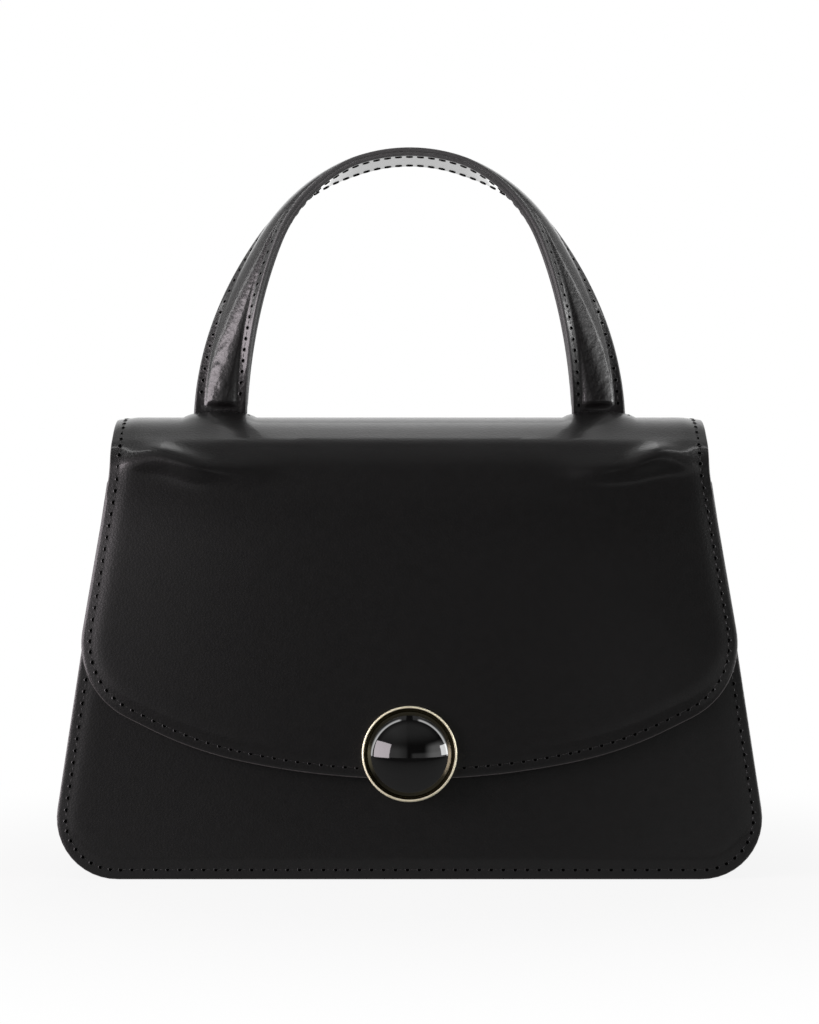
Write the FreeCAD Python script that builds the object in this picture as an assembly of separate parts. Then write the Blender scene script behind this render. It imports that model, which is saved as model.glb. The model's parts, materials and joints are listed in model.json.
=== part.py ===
import FreeCAD, Part
import math
import os
from FreeCAD import Placement, Rotation, Vector

# Top handle bag: a leather body with a flap that folds over the top and down the
# front, a jewelled magnetic clasp, and one arched handle sewn into slits in the flap.
# Millimetres. X runs to the right seen from the front, the front faces -Y, Z is up.
# The origin is on the ground, under the middle of the overall width and depth.

# Body
BASE_WIDTH = 242.0           # between the two side lines where they reach the ground
SIDE_TAPER = 8.0             # degrees that each side line leans inwards
BODY_CORNER_RADIUS = 20.5    # lower corners of the panels
FRONT_HEIGHT = 136.0         # top edge of the front panel
FRONT_TOP_CORNER = 3.5       # radius of the front panel's top corners
BASE_DEPTH = 80.0            # over the outer faces of both panels, on the ground
PANEL_LEAN = 5.5             # degrees that the front and back lean inwards
PANEL_LEATHER = 1.8
PANEL_BOARD = 1.2
LINING = 0.6
GUSSET_LEATHER = 1.3
SEAM_WIDTH = 4.0             # turned-out edge of the gusset, sewn to the panels
BOARD_MARGIN = 8.0           # boards stop this far inside the sewn edges
BASE_SHAPER = 1.5
POCKET_WIDTH = 140.0
POCKET_BOTTOM = 28.0
POCKET_TOP = 100.0
GLUE = 0.05                  # glue line between layers
EASE = 0.3                   # clearance of pieces that are laid in loosely

# Flap
CREST_RISE = 19.5            # from the front panel's top edge to the top of the flap
CREST_TOP_RADIUS = 34.0      # rounding along the middle of the domed top
CREST_SLOPE = 32.0           # degrees that the top falls away on both sides of it
CREST_RADIUS = 14.0          # rounding of the flap over the front and back top edges
CREST_FULL_DEPTH = 50.0      # all roundings shrink where the top is less deep than this
FLAP_LEATHER = 1.4
FLAP_BOARD = 1.1
FLAP_LINING = 0.8
FLAP_GAP = 0.6               # from the front panel to the flap at the panel's top edge
FLAP_WIDTH = 202.2           # over the top
FLAP_TAPER = 8.9             # degrees that each front side edge leans outwards
FLAP_SIDE_BLEND = 60.0       # radius between the top's edge and the leaning side edge
FLAP_TIP = 34.0              # lowest point of the flap above the ground
FLAP_SWEEP_SLOPE = 12.0      # degrees at the end of the wide lower arc
FLAP_KNEE = 71.6             # from the middle to the bend between arc and shoulder
FLAP_KNEE_RADIUS = 130.0
FLAP_SHOULDER_SLOPE = 26.0   # degrees of the short run up to the corner
FLAP_CORNER_RADIUS = 28.0
CREST_BOARD_DROP = 7.0       # height of the board under the top
HINGE_GAP = 0.6              # open slot between back panel and flap at the bend

# Clasp
CLASP_ABOVE_TIP = 8.2        # clasp centre above the flap's lowest point
CUP_DIAMETER = 31.6
CUP_HEIGHT = 3.6             # rim above the flap's leather
CUP_FLOOR = 1.2
CUP_RIM = 0.9                # width of the rim
CUP_RIM_BEVEL = 0.3          # bevel on both sides of the rim
CUP_FOOT = 0.6               # chamfer at the foot of the cup
POST_DIAMETER = 3.0
POST_EASE = 0.15
STONE_DIAMETER = 28.0
STONE_GIRDLE = 1.0
STONE_DOME = 6.6
SNAP_DIAMETER = 14.0
STUD_DISC = 1.2
STUD_BOSS_DIAMETER = 5.6
STUD_BOSS = 0.8
STUD_BORE = 1.4              # depth of the hole for the post
SNAP_GAP = 0.5               # between the two halves of the snap when closed
SOCKET_HEIGHT = 2.2
SOCKET_RECESS_DIAMETER = 8.4
SOCKET_RECESS = 0.9
SOCKET_SHELL = 0.5
MAGNET_INNER = 9.6
PRONG_SPREAD = 6.4           # between the two prongs
PRONG_WIDTH = 3.0
PRONG_THICKNESS = 0.4
PRONG_FOOT = 4.5
WASHER_DIAMETER = 15.0
WASHER = 0.5
WINDOW_MARGIN = 3.0          # board window outside the washer

# Handle
HANDLE_SPACING = 131.6       # between the two strap ends, at the slits
HANDLE_RISE = 92.9           # strap centre line above its hinge line
HANDLE_TOP_RADIUS = 56.0
HANDLE_TOP_TURN = 62.0       # degrees of the top arc on each side
HANDLE_LEAN = 5.0            # degrees that the standing handle leans back
HANDLE_TILT = 35.0           # most lean from upright, either way
HANDLE_WIDTH = 18.5
HANDLE_LEATHER = 1.3
HANDLE_LINING = 1.3
HANDLE_CORE_WIDTH = 11.0
HANDLE_CROWN = 1.6           # how far the core lifts the leather
HANDLE_CORE_TOP = 6.0        # flat top of the core
HANDLE_CROWN_MARGIN = 1.0    # crown wider than the core on each side
HANDLE_PAD_GAP = 4.0         # core and lining stop this far above the hinge line
TWIST_START = 44.0           # along the strap from its middle
TWIST_END_GAP = 0.5          # strap is square to the front this far above the hinge line
HINGE_DEPTH = 0.5            # hinge line of the handle below the flap's surface
SLIT_END_GAP = 0.6
TAIL_LENGTH = 13.0           # strap end under the leather, forward of the slit
TAIL_BACK = 3.0
TAIL_LEATHER = 1.0
PAD_STATIONS = 29            # sections along the padded stretch
END_STATIONS = 4             # sections along each flat end

FAR = 400.0                  # beyond every face of the bag


def sine(degrees):
    return math.sin(math.radians(degrees))


def cosine(degrees):
    return math.cos(math.radians(degrees))


def tangent(degrees):
    return math.tan(math.radians(degrees))


# Values worked out from the sizes above
SEWN_EDGE = SEAM_WIDTH + GUSSET_LEATHER
FLAP_THICKNESS = FLAP_LEATHER + GLUE + FLAP_BOARD + GLUE + FLAP_LINING
STAND_OFF = STUD_DISC + SNAP_GAP + SOCKET_HEIGHT
CREST_TOP = FRONT_HEIGHT + CREST_RISE
CLASP_Z = FLAP_TIP + CLASP_ABOVE_TIP
BOARD_DEPTH = PANEL_LEATHER + GLUE
LINING_DEPTH = BOARD_DEPTH + max(PANEL_BOARD, GUSSET_LEATHER) + GLUE
POCKET_DEPTH = LINING_DEPTH + LINING + EASE


def panel_y(z, depth=0.0):
    """Y of the plane that lies depth inside the front panel's outer face."""
    return -BASE_DEPTH / 2 + z * tangent(PANEL_LEAN) + depth / cosine(PANEL_LEAN)


FLAP_SLOPE = (
    panel_y(FRONT_HEIGHT, -FLAP_GAP - FLAP_THICKNESS) - panel_y(CLASP_Z, -STAND_OFF - FLAP_THICKNESS)
) / (FRONT_HEIGHT - CLASP_Z)
FLAP_LEAN = math.degrees(math.atan(FLAP_SLOPE))


def flap_y(z):
    """Y of the flap's outer face on its flat front."""
    return panel_y(FRONT_HEIGHT, -FLAP_GAP - FLAP_THICKNESS) + (z - FRONT_HEIGHT) * FLAP_SLOPE


CREST_DEPTH = -panel_y(CREST_TOP) - flap_y(CREST_TOP)
CREST_FIT = min(CREST_DEPTH / CREST_FULL_DEPTH, 1)
TOP_ROUND = CREST_TOP_RADIUS * CREST_FIT
SHOULDER_ROUND = CREST_RADIUS * CREST_FIT
SLIT_Y = (flap_y(CREST_TOP) - panel_y(CREST_TOP)) / 2
APEX_Z = CREST_TOP + TOP_ROUND * (1 / cosine(CREST_SLOPE) - 1)
FALL = 1 / tangent(CREST_SLOPE)
FRONT_SHOULDER_Z = APEX_Z - (SLIT_Y - flap_y(APEX_Z)) / (FALL - FLAP_SLOPE)
BACK_SHOULDER_Z = APEX_Z - (-panel_y(APEX_Z) - SLIT_Y) / (FALL - tangent(PANEL_LEAN))
FRONT_ROUNDING = SHOULDER_ROUND * tangent((90 - FLAP_LEAN - CREST_SLOPE) / 2)
BACK_ROUNDING = SHOULDER_ROUND * tangent((90 - PANEL_LEAN - CREST_SLOPE) / 2)
FRONT_BREAK_Z = FRONT_SHOULDER_Z - FRONT_ROUNDING * cosine(FLAP_LEAN)
HINGE_Z = BACK_SHOULDER_Z - BACK_ROUNDING * cosine(PANEL_LEAN)
HINGE_Y = -panel_y(HINGE_Z)
BACK_LINING_TOP = HINGE_Z - HINGE_GAP
GUSSET_TOP = min(BACK_LINING_TOP, FRONT_HEIGHT - FRONT_TOP_CORNER)
HANDLE_AXIS_Z = CREST_TOP - HINGE_DEPTH
SLIT_HALF = HANDLE_LEATHER / 2 / cosine(HANDLE_TILT) + HINGE_DEPTH * tangent(HANDLE_TILT) + EASE


# Outlines

def inset_corners(corners, inset):
    """Corners (u, v, radius) of a closed outline, moved in by inset; listed counter-clockwise."""
    lines = []
    for (u0, v0, _), (u1, v1, _) in zip(corners, corners[1:] + corners[:1]):
        length = math.hypot(u1 - u0, v1 - v0)
        du, dv = (u1 - u0) / length, (v1 - v0) / length
        lines.append((u0 - dv * inset, v0 + du * inset, du, dv))
    moved = []
    for (_, _, radius), before, after in zip(corners, lines[-1:] + lines[:-1], lines):
        turn = before[2] * after[3] - before[3] * after[2]
        along = ((after[0] - before[0]) * after[3] - (after[1] - before[1]) * after[2]) / turn
        new_radius = radius - math.copysign(inset, turn) if radius else 0.0
        moved.append((before[0] + before[2] * along, before[1] + before[3] * along, new_radius))
    return moved


def rounded_face(corners, to_space):
    """Face whose straight runs are joined by arcs; to_space turns (u, v) into a point."""
    points = [to_space(u, v) for u, v, _ in corners]
    runs = []
    arcs = []
    for i, (_, _, radius) in enumerate(corners):
        corner = points[i]
        back = (points[i - 1] - corner).normalize()
        ahead = (points[(i + 1) % len(points)] - corner).normalize()
        if radius <= 0:
            runs.append((corner, corner))
            arcs.append(None)
            continue
        half = back.getAngle(ahead) / 2
        start = corner + back * (radius / math.tan(half))
        end = corner + ahead * (radius / math.tan(half))
        inward = (back + ahead).normalize()
        middle = corner + inward * (radius / math.sin(half) - radius)
        runs.append((start, end))
        arcs.append(Part.Arc(start, middle, end).toShape())
    edges = []
    for i, (start, end) in enumerate(runs):
        if arcs[i]:
            edges.append(arcs[i])
        edges.append(Part.makeLine(end, runs[(i + 1) % len(runs)][0]))
    return Part.Face(Part.Wire(edges))


def in_front_view(u, v):
    return Vector(u, -FAR, v)


def in_side_view(u, v):
    return Vector(-FAR, u, v)


def front_prism(corners):
    """Outline drawn in the front view, pushed right through the bag."""
    return rounded_face(corners, in_front_view).extrude(Vector(0, 2 * FAR, 0))


def side_prism(corners):
    """Outline drawn in the side view, pushed right across the bag."""
    return rounded_face(corners, in_side_view).extrude(Vector(2 * FAR, 0, 0))


def block(low, high):
    """Box between two corners."""
    size = high - low
    return Part.makeBox(size.x, size.y, size.z, low)


def body_prism(inset, top, top_corner=0.0):
    """Prism of the body's outline: tapered sides, rounded lower corners, flat top."""
    narrowing = top * tangent(SIDE_TAPER)
    half_base, half_top = BASE_WIDTH / 2, BASE_WIDTH / 2 - narrowing
    corners = [
        (-half_base, 0, BODY_CORNER_RADIUS),
        (half_base, 0, BODY_CORNER_RADIUS),
        (half_top, top, top_corner),
        (-half_top, top, top_corner),
    ]
    return front_prism(inset_corners(corners, inset) if inset else corners)


def body_channel(inset, thickness, top):
    """Prism of a U that follows the body's outline, open at the top."""
    beyond = 1.5 * FRONT_HEIGHT
    wall = body_prism(inset, beyond).cut(body_prism(inset + thickness, beyond))
    return wall.common(block(Vector(-FAR, -FAR, -FAR), Vector(FAR, FAR, top)))


def flap_prism(inset):
    """Prism of the flap's outline: leaning sides and a swept lower edge."""
    top = 2 * CREST_TOP
    knee_run = FLAP_KNEE / cosine(FLAP_SWEEP_SLOPE)
    knee_turn = FLAP_SHOULDER_SLOPE - FLAP_SWEEP_SLOPE
    sweep_run = knee_run - FLAP_KNEE_RADIUS * tangent(knee_turn / 2) - GLUE
    sweep = sweep_run / tangent(FLAP_SWEEP_SLOPE)
    lowest = FLAP_TIP - sweep * (1 / cosine(FLAP_SWEEP_SLOPE) - 1)
    knee_z = lowest + FLAP_KNEE * tangent(FLAP_SWEEP_SLOPE)
    half_top = FLAP_WIDTH / 2
    reach = half_top + (FRONT_HEIGHT - knee_z) * tangent(FLAP_TAPER) - FLAP_KNEE
    run = reach / (1 + tangent(FLAP_SHOULDER_SLOPE) * tangent(FLAP_TAPER))
    corner_x = FLAP_KNEE + run
    corner_z = knee_z + run * tangent(FLAP_SHOULDER_SLOPE)
    right = [
        (FLAP_KNEE, knee_z, FLAP_KNEE_RADIUS),
        (corner_x, corner_z, FLAP_CORNER_RADIUS),
        (half_top, FRONT_HEIGHT, FLAP_SIDE_BLEND),
        (half_top, top, 0.0),
    ]
    left = [(-x, z, radius) for x, z, radius in reversed(right)]
    corners = [(0.0, lowest, sweep)] + right + left
    return front_prism(inset_corners(corners, inset) if inset else corners)


# Layers

def panel_slab(depth, thickness):
    """Leaning slab behind the front panel's outer face, wider than the bag."""
    low, high = -FAR / 4, FAR
    return side_prism([
        (panel_y(low, depth), low, 0),
        (panel_y(low, depth + thickness), low, 0),
        (panel_y(high, depth + thickness), high, 0),
        (panel_y(high, depth), high, 0),
    ])


def between_panels(depth):
    """Wedge between the planes that lie depth inside the two panels."""
    low, high = -FAR / 4, BASE_DEPTH / 2 / tangent(PANEL_LEAN) * 0.8
    return side_prism([
        (panel_y(low, depth), low, 0),
        (-panel_y(low, depth), low, 0),
        (-panel_y(high, depth), high, 0),
        (panel_y(high, depth), high, 0),
    ])


def mirrored(shape):
    """The same piece on the back of the bag."""
    return shape.mirror(Vector(0, 0, 0), Vector(0, 1, 0))


def flap_core(depth):
    """Prism of everything that lies depth or more inside the flap's outer face."""
    low = -FAR / 4
    corners = [
        (flap_y(low), low, 0),
        (-panel_y(low), low, 0),
        (-panel_y(BACK_SHOULDER_Z), BACK_SHOULDER_Z, SHOULDER_ROUND),
        (SLIT_Y, APEX_Z, TOP_ROUND),
        (flap_y(FRONT_SHOULDER_Z), FRONT_SHOULDER_Z, SHOULDER_ROUND),
    ]
    return side_prism(inset_corners(corners, depth) if depth else corners)


def flap_layer(depth, thickness, inset):
    """One layer of the flap, from the bend at the back to the lower front edge."""
    layer = flap_core(depth).cut(flap_core(depth + thickness)).common(flap_prism(inset))
    below_bend = block(Vector(-FAR, SLIT_Y, -FAR), Vector(FAR, FAR, HINGE_Z + HINGE_GAP / 2))
    return layer.cut(below_bend)


def at_clasp(shape):
    """Move a piece drawn on the Z axis to the clasp, with Z square out of the flap."""
    place = Vector(0, flap_y(CLASP_Z), CLASP_Z)
    shape.Placement = Placement(place, Rotation(Vector(1, 0, 0), 90 - FLAP_LEAN))
    return shape


def at_socket(shape):
    """Move a piece drawn on the Z axis to the snap's fixed half on the front panel."""
    z = CLASP_Z - (FLAP_THICKNESS + STAND_OFF) * sine(FLAP_LEAN)
    place = Vector(0, panel_y(z), z)
    shape.Placement = Placement(place, Rotation(Vector(1, 0, 0), 90 - PANEL_LEAN))
    return shape


def turned(edges):
    """Solid turned about the Z axis from edges drawn in the XZ plane."""
    face = Part.Face(Part.Wire(edges))
    return face.revolve(Vector(0, 0, 0), Vector(0, 0, 1), 360)


def drawn_lines(points):
    """Lines through points (r, z) in the XZ plane."""
    places = [Vector(r, 0, z) for r, z in points]
    return [Part.makeLine(a, b) for a, b in zip(places, places[1:])]


def disc(diameter, low, high):
    return Part.makeCylinder(diameter / 2, high - low, Vector(0, 0, low))


# Body pieces

def prong_boxes(ease):
    """The two straight prongs of the snap, or their slots when ease is added."""
    far_end = -(PANEL_LEATHER + GLUE + WASHER + PRONG_THICKNESS)
    half_width = PRONG_WIDTH / 2 + ease
    boxes = []
    for x in (-PRONG_SPREAD / 2, PRONG_SPREAD / 2):
        half = PRONG_THICKNESS / 2 + ease
        boxes.append(block(Vector(x - half, -half_width, far_end), Vector(x + half, half_width, GLUE)))
    return boxes


def front_panel():
    panel = body_prism(0, FRONT_HEIGHT, FRONT_TOP_CORNER).common(panel_slab(0, PANEL_LEATHER))
    for slot in prong_boxes(EASE / 2):
        panel = panel.cut(at_socket(slot))
    return panel


def back_panel():
    return mirrored(body_prism(0, HINGE_Z - HINGE_GAP / 2).common(panel_slab(0, PANEL_LEATHER)))


def board_sheet(top):
    """Stiffener that lies against the inside of the front panel."""
    return body_prism(BOARD_MARGIN, top - BOARD_MARGIN / 2).common(panel_slab(BOARD_DEPTH, PANEL_BOARD))


def front_board():
    deep = -(BOARD_DEPTH + 2 * PANEL_BOARD)
    window = at_socket(disc(WASHER_DIAMETER + 2 * WINDOW_MARGIN, deep, 0))
    return board_sheet(FRONT_HEIGHT).cut(window)


def back_board():
    return mirrored(board_sheet(HINGE_Z))


def lining_sheet(top):
    """Lining of the front wall, inside the lining of the gusset."""
    inset = SEWN_EDGE + GLUE + LINING + GLUE
    return body_prism(inset, top + inset).common(panel_slab(LINING_DEPTH, LINING))


def front_lining():
    trim = block(Vector(-FAR, -FAR, -FAR), Vector(FAR, FAR, FRONT_HEIGHT - FRONT_TOP_CORNER))
    return lining_sheet(FRONT_HEIGHT).common(trim)


def back_lining():
    trim = block(Vector(-FAR, -FAR, -FAR), Vector(FAR, FAR, BACK_LINING_TOP))
    return mirrored(lining_sheet(HINGE_Z).common(trim))


def gusset():
    """Side, base and side in one strip, with an edge turned out along each panel."""
    wall = body_channel(SEAM_WIDTH, GUSSET_LEATHER, GUSSET_TOP).common(between_panels(BOARD_DEPTH))
    flange = body_channel(0, SEWN_EDGE, GUSSET_TOP).common(panel_slab(BOARD_DEPTH, GUSSET_LEATHER))
    return wall.fuse([flange, mirrored(flange)]).removeSplitter()


def gusset_lining():
    return body_channel(SEWN_EDGE + GLUE, LINING, GUSSET_TOP).common(between_panels(LINING_DEPTH))


def base_shaper():
    """Board on the floor inside, between the linings."""
    inset = SEWN_EDGE + GLUE + LINING + GLUE
    round_inside = BODY_CORNER_RADIUS - inset
    half = BASE_WIDTH / 2 - inset - round_inside * tangent(45 + SIDE_TAPER / 2) - EASE
    floor = block(Vector(-half, -FAR, inset), Vector(half, FAR, inset + BASE_SHAPER))
    return floor.common(between_panels(LINING_DEPTH + LINING + EASE))


def slip_pocket():
    half = POCKET_WIDTH / 2
    sheet = block(Vector(-half, -FAR, POCKET_BOTTOM), Vector(half, FAR, POCKET_TOP))
    return mirrored(sheet.common(panel_slab(POCKET_DEPTH, LINING)))


def magnet_ring(ease):
    outer = SNAP_DIAMETER - 2 * SOCKET_SHELL + 2 * ease
    ring = disc(outer, GLUE - ease, SOCKET_HEIGHT - SOCKET_SHELL - GLUE + ease)
    return ring.cut(disc(MAGNET_INNER - 2 * ease, -1, SOCKET_HEIGHT))


def snap_socket():
    shell = disc(SNAP_DIAMETER, GLUE, SOCKET_HEIGHT)
    shell = shell.cut(disc(SOCKET_RECESS_DIAMETER, SOCKET_HEIGHT - SOCKET_RECESS, SOCKET_HEIGHT + 1))
    shell = shell.cut(magnet_ring(GLUE))
    behind = -(PANEL_LEATHER + GLUE + WASHER)
    half_width = PRONG_WIDTH / 2
    for side, prong in zip((-1, 1), prong_boxes(0)):
        inner = side * PRONG_SPREAD / 2
        outer = side * (PRONG_SPREAD / 2 + PRONG_FOOT)
        foot = block(
            Vector(min(inner, outer), -half_width, behind - PRONG_THICKNESS),
            Vector(max(inner, outer), half_width, behind),
        )
        shell = shell.fuse([prong, foot])
    return at_socket(shell.removeSplitter())


def snap_magnet():
    return at_socket(magnet_ring(0))


def snap_washer():
    washer = disc(WASHER_DIAMETER, -(PANEL_LEATHER + GLUE + WASHER), -(PANEL_LEATHER + GLUE))
    for slot in prong_boxes(EASE / 2):
        washer = washer.cut(slot)
    return at_socket(washer)


# Flap pieces

def post_hole():
    long_enough = FLAP_THICKNESS + STAND_OFF
    return at_clasp(disc(POST_DIAMETER + 2 * POST_EASE, -long_enough, CUP_FLOOR))


def slit_length():
    _, _, lean = strap_point(strap_half_length())
    return HANDLE_WIDTH / sine(lean) + 2 * SLIT_END_GAP


def flap_outer():
    leather = flap_layer(0, FLAP_LEATHER, 0).cut(post_hole())
    half = slit_length() / 2
    for x in (-HANDLE_SPACING / 2, HANDLE_SPACING / 2):
        low = Vector(x - half, SLIT_Y - SLIT_HALF, CREST_TOP - 2 * FLAP_LEATHER)
        leather = leather.cut(block(low, Vector(x + half, SLIT_Y + SLIT_HALF, FAR)))
    return leather


def flap_board():
    board = flap_layer(FLAP_LEATHER + GLUE, FLAP_BOARD, BOARD_MARGIN).cut(post_hole())
    return board.common(block(Vector(-FAR, -FAR, -FAR), Vector(FAR, SLIT_Y, FRONT_BREAK_Z)))


def tail_box(side, ease):
    """Space that a strap end fills under the leather, in plan."""
    half = slit_length() / 2 - SLIT_END_GAP + ease
    middle = side * HANDLE_SPACING / 2
    low = Vector(middle - half, SLIT_Y - TAIL_LENGTH - ease, 0)
    return block(low, Vector(middle + half, SLIT_Y + TAIL_BACK + ease, FAR))


def crest_board():
    board = flap_layer(FLAP_LEATHER + GLUE, FLAP_BOARD, BOARD_MARGIN)
    board = board.common(block(Vector(-FAR, -FAR, CREST_TOP - CREST_BOARD_DROP), Vector(FAR, FAR, FAR)))
    return board.cut([tail_box(-1, EASE), tail_box(1, EASE)])


def flap_lining():
    depth = FLAP_LEATHER + GLUE + FLAP_BOARD + GLUE
    return flap_layer(depth, FLAP_LINING, 0).cut(post_hole())


def handle_tail(side):
    """End of the strap, sewn under the flap's leather in front of its slit."""
    layer = flap_layer(FLAP_LEATHER + GLUE, TAIL_LEATHER, 0)
    return layer.common(tail_box(side, 0))


def clasp_cup():
    """Turned cup with a bevelled rim, and the post that holds it through the flap."""
    radius = CUP_DIAMETER / 2
    seat = STONE_DIAMETER / 2 + GLUE
    rim = CUP_HEIGHT - CUP_RIM_BEVEL
    inner = radius - CUP_RIM
    outside = [(0, CUP_FLOOR), (0, GLUE), (radius - CUP_FOOT, GLUE), (radius, CUP_FOOT), (radius, rim)]
    lip = [(radius - CUP_RIM_BEVEL, CUP_HEIGHT), (inner + CUP_RIM_BEVEL, CUP_HEIGHT), (inner, rim)]
    cup = turned(drawn_lines(outside + lip + [(seat, CUP_FLOOR), (0, CUP_FLOOR)]))
    post = disc(POST_DIAMETER, -(FLAP_THICKNESS + STUD_BORE), CUP_FLOOR / 2)
    return at_clasp(cup.fuse(post).removeSplitter())


def clasp_cabochon():
    """Domed stone on the floor of the cup."""
    radius = STONE_DIAMETER / 2
    base = CUP_FLOOR + GLUE
    edge = base + STONE_GIRDLE
    top = edge + STONE_DOME
    ball = (radius ** 2 + STONE_DOME ** 2) / (2 * STONE_DOME)
    half_angle = math.asin(radius / ball) / 2
    middle = Vector(ball * math.sin(half_angle), 0, top - ball + ball * math.cos(half_angle))
    dome = Part.Arc(Vector(radius, 0, edge), middle, Vector(0, 0, top)).toShape()
    return at_clasp(turned(drawn_lines([(0, top), (0, base), (radius, base), (radius, edge)]) + [dome]))


def snap_stud():
    face = -(FLAP_THICKNESS + STUD_DISC)
    stud = disc(SNAP_DIAMETER, face, -FLAP_THICKNESS - GLUE)
    stud = stud.fuse(disc(STUD_BOSS_DIAMETER, face - STUD_BOSS, face)).removeSplitter()
    bore = disc(POST_DIAMETER + 2 * GLUE, -(FLAP_THICKNESS + STUD_BORE + GLUE), 0)
    return at_clasp(stud.cut(bore))


# Handle pieces

def leg_arc():
    """Radius, start and turn of the arc from the top arc's end down to a slit."""
    start_x = HANDLE_TOP_RADIUS * sine(HANDLE_TOP_TURN)
    start_h = HANDLE_RISE - HANDLE_TOP_RADIUS * (1 - cosine(HANDLE_TOP_TURN))
    run = HANDLE_SPACING / 2 - start_x
    chord = math.hypot(run, start_h)
    turn = 2 * (math.degrees(math.atan2(start_h, run)) - HANDLE_TOP_TURN)
    return chord / (2 * sine(turn / 2)), start_x, start_h, turn


def strap_half_length():
    radius, _, _, turn = leg_arc()
    return math.radians(HANDLE_TOP_TURN) * HANDLE_TOP_RADIUS + math.radians(turn) * radius


def strap_point(s):
    """Centre line at length s from the middle: distance to the side, height, slope in degrees."""
    top_length = math.radians(HANDLE_TOP_TURN) * HANDLE_TOP_RADIUS
    length = abs(s)
    if length <= top_length:
        slope = math.degrees(length / HANDLE_TOP_RADIUS)
        x = HANDLE_TOP_RADIUS * sine(slope)
        h = HANDLE_RISE - HANDLE_TOP_RADIUS * (1 - cosine(slope))
    else:
        radius, start_x, start_h, _ = leg_arc()
        slope = HANDLE_TOP_TURN + math.degrees((length - top_length) / radius)
        x = start_x + radius * (sine(slope) - sine(HANDLE_TOP_TURN))
        h = start_h - radius * (cosine(HANDLE_TOP_TURN) - cosine(slope))
    return math.copysign(x, s), h, math.copysign(slope, s)


def strap_frame(s):
    """Place, width direction and outward direction of the strap's section at s.

    Over the top the strap lies flat; down each leg it turns until it faces the front.
    """
    x, h, slope = strap_point(s)
    twist_length = strap_half_length() - TWIST_END_GAP - TWIST_START
    twist = 90 * min(max((abs(s) - TWIST_START) / twist_length, 0), 1)
    outward = Vector(sine(slope), 0, cosine(slope))
    forward = Vector(0, -1, 0)
    normal = outward * cosine(twist) + forward * sine(twist)
    across = forward * cosine(twist) - outward * sine(twist)
    return Vector(x, 0, h), across, normal


def strap_wire(s, runs):
    """Section at s; each run is a list of (w, n) points, two for a line, three for an arc."""
    place, across, normal = strap_frame(s)
    edges = []
    for run in runs:
        points = [place + across * w + normal * n for w, n in run]
        if len(points) == 2:
            edges.append(Part.makeLine(points[0], points[1]))
        else:
            edges.append(Part.Arc(*points).toShape())
    return Part.Wire(edges)


def strap_loft(runs, start, end, stations):
    """Solid through the same section placed at even steps along the strap."""
    steps = [start + (end - start) * i / (stations - 1) for i in range(stations)]
    return Part.makeLoft([strap_wire(s, runs) for s in steps], True, True)


def closed_runs(points):
    """Straight runs round a closed section."""
    return [[a, b] for a, b in zip(points, points[1:] + points[:1])]


def standing(shape):
    """Lean the handle back on its hinge line and set it in the slits."""
    shape.Placement = Placement(Vector(0, SLIT_Y, HANDLE_AXIS_Z), Rotation(Vector(1, 0, 0), -HANDLE_LEAN))
    return shape


def core_section(ease):
    """Section of the padded core, from its right foot over the top to its left foot."""
    foot, top, n = HANDLE_CORE_WIDTH / 2 + ease, HANDLE_CORE_TOP / 2 + ease, HANDLE_LEATHER / 2
    return [(foot, -n), (top, HANDLE_CROWN - n + ease), (-top, HANDLE_CROWN - n + ease), (-foot, -n)]


def handle_strap():
    """Outer leather: crowned over the core, flat at both ends, rounded on the hinge line."""
    w, n = HANDLE_WIDTH / 2, HANDLE_LEATHER / 2
    edge = HANDLE_CORE_WIDTH / 2 + HANDLE_CROWN_MARGIN
    outside = [[(-edge, n), (0, n + HANDLE_CROWN), (edge, n)]]
    hollow = [(edge, n), (w, n), (w, -n)] + core_section(GLUE) + [(-w, -n), (-w, n), (-edge, n)]
    crowned = outside + [[a, b] for a, b in zip(hollow, hollow[1:])]
    flat = closed_runs([(-w, -n), (-w, n), (w, n), (w, -n)])
    half_length = strap_half_length()
    pad_end = half_length - HANDLE_PAD_GAP
    strap = strap_loft(crowned, -pad_end, pad_end, PAD_STATIONS)
    above_hinge = block(Vector(-FAR, -FAR, 0), Vector(FAR, FAR, FAR))
    for side in (-1, 1):
        end = strap_loft(flat, side * pad_end, side * (half_length + HANDLE_LEATHER), END_STATIONS)
        x, _, slope = strap_point(half_length)
        length = HANDLE_WIDTH / sine(slope)
        roll = Part.makeCylinder(n, length, Vector(side * x - length / 2, 0, 0), Vector(1, 0, 0))
        strap = strap.fuse([end.common(above_hinge), roll])
    return standing(strap.removeSplitter())


def handle_core():
    pad_end = strap_half_length() - HANDLE_PAD_GAP
    return standing(strap_loft(closed_runs(core_section(0)), -pad_end, pad_end, PAD_STATIONS))


def handle_lining():
    w, top = HANDLE_WIDTH / 2, -HANDLE_LEATHER / 2 - GLUE
    pad_end = strap_half_length() - HANDLE_PAD_GAP
    runs = closed_runs([(-w, top - HANDLE_LINING), (-w, top), (w, top), (w, top - HANDLE_LINING)])
    return standing(strap_loft(runs, -pad_end, pad_end, PAD_STATIONS))


PIECES = {
    "front_panel": front_panel,
    "front_board": front_board,
    "front_lining": front_lining,
    "back_panel": back_panel,
    "back_board": back_board,
    "back_lining": back_lining,
    "gusset": gusset,
    "gusset_lining": gusset_lining,
    "base_shaper": base_shaper,
    "slip_pocket": slip_pocket,
    "snap_socket": snap_socket,
    "snap_magnet": snap_magnet,
    "snap_washer": snap_washer,
    "flap_outer": flap_outer,
    "flap_board": flap_board,
    "crest_board": crest_board,
    "flap_lining": flap_lining,
    "left_handle_tail": lambda: handle_tail(-1),
    "right_handle_tail": lambda: handle_tail(1),
    "clasp_cup": clasp_cup,
    "clasp_cabochon": clasp_cabochon,
    "snap_stud": snap_stud,
    "handle_strap": handle_strap,
    "handle_core": handle_core,
    "handle_lining": handle_lining,
}

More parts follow.
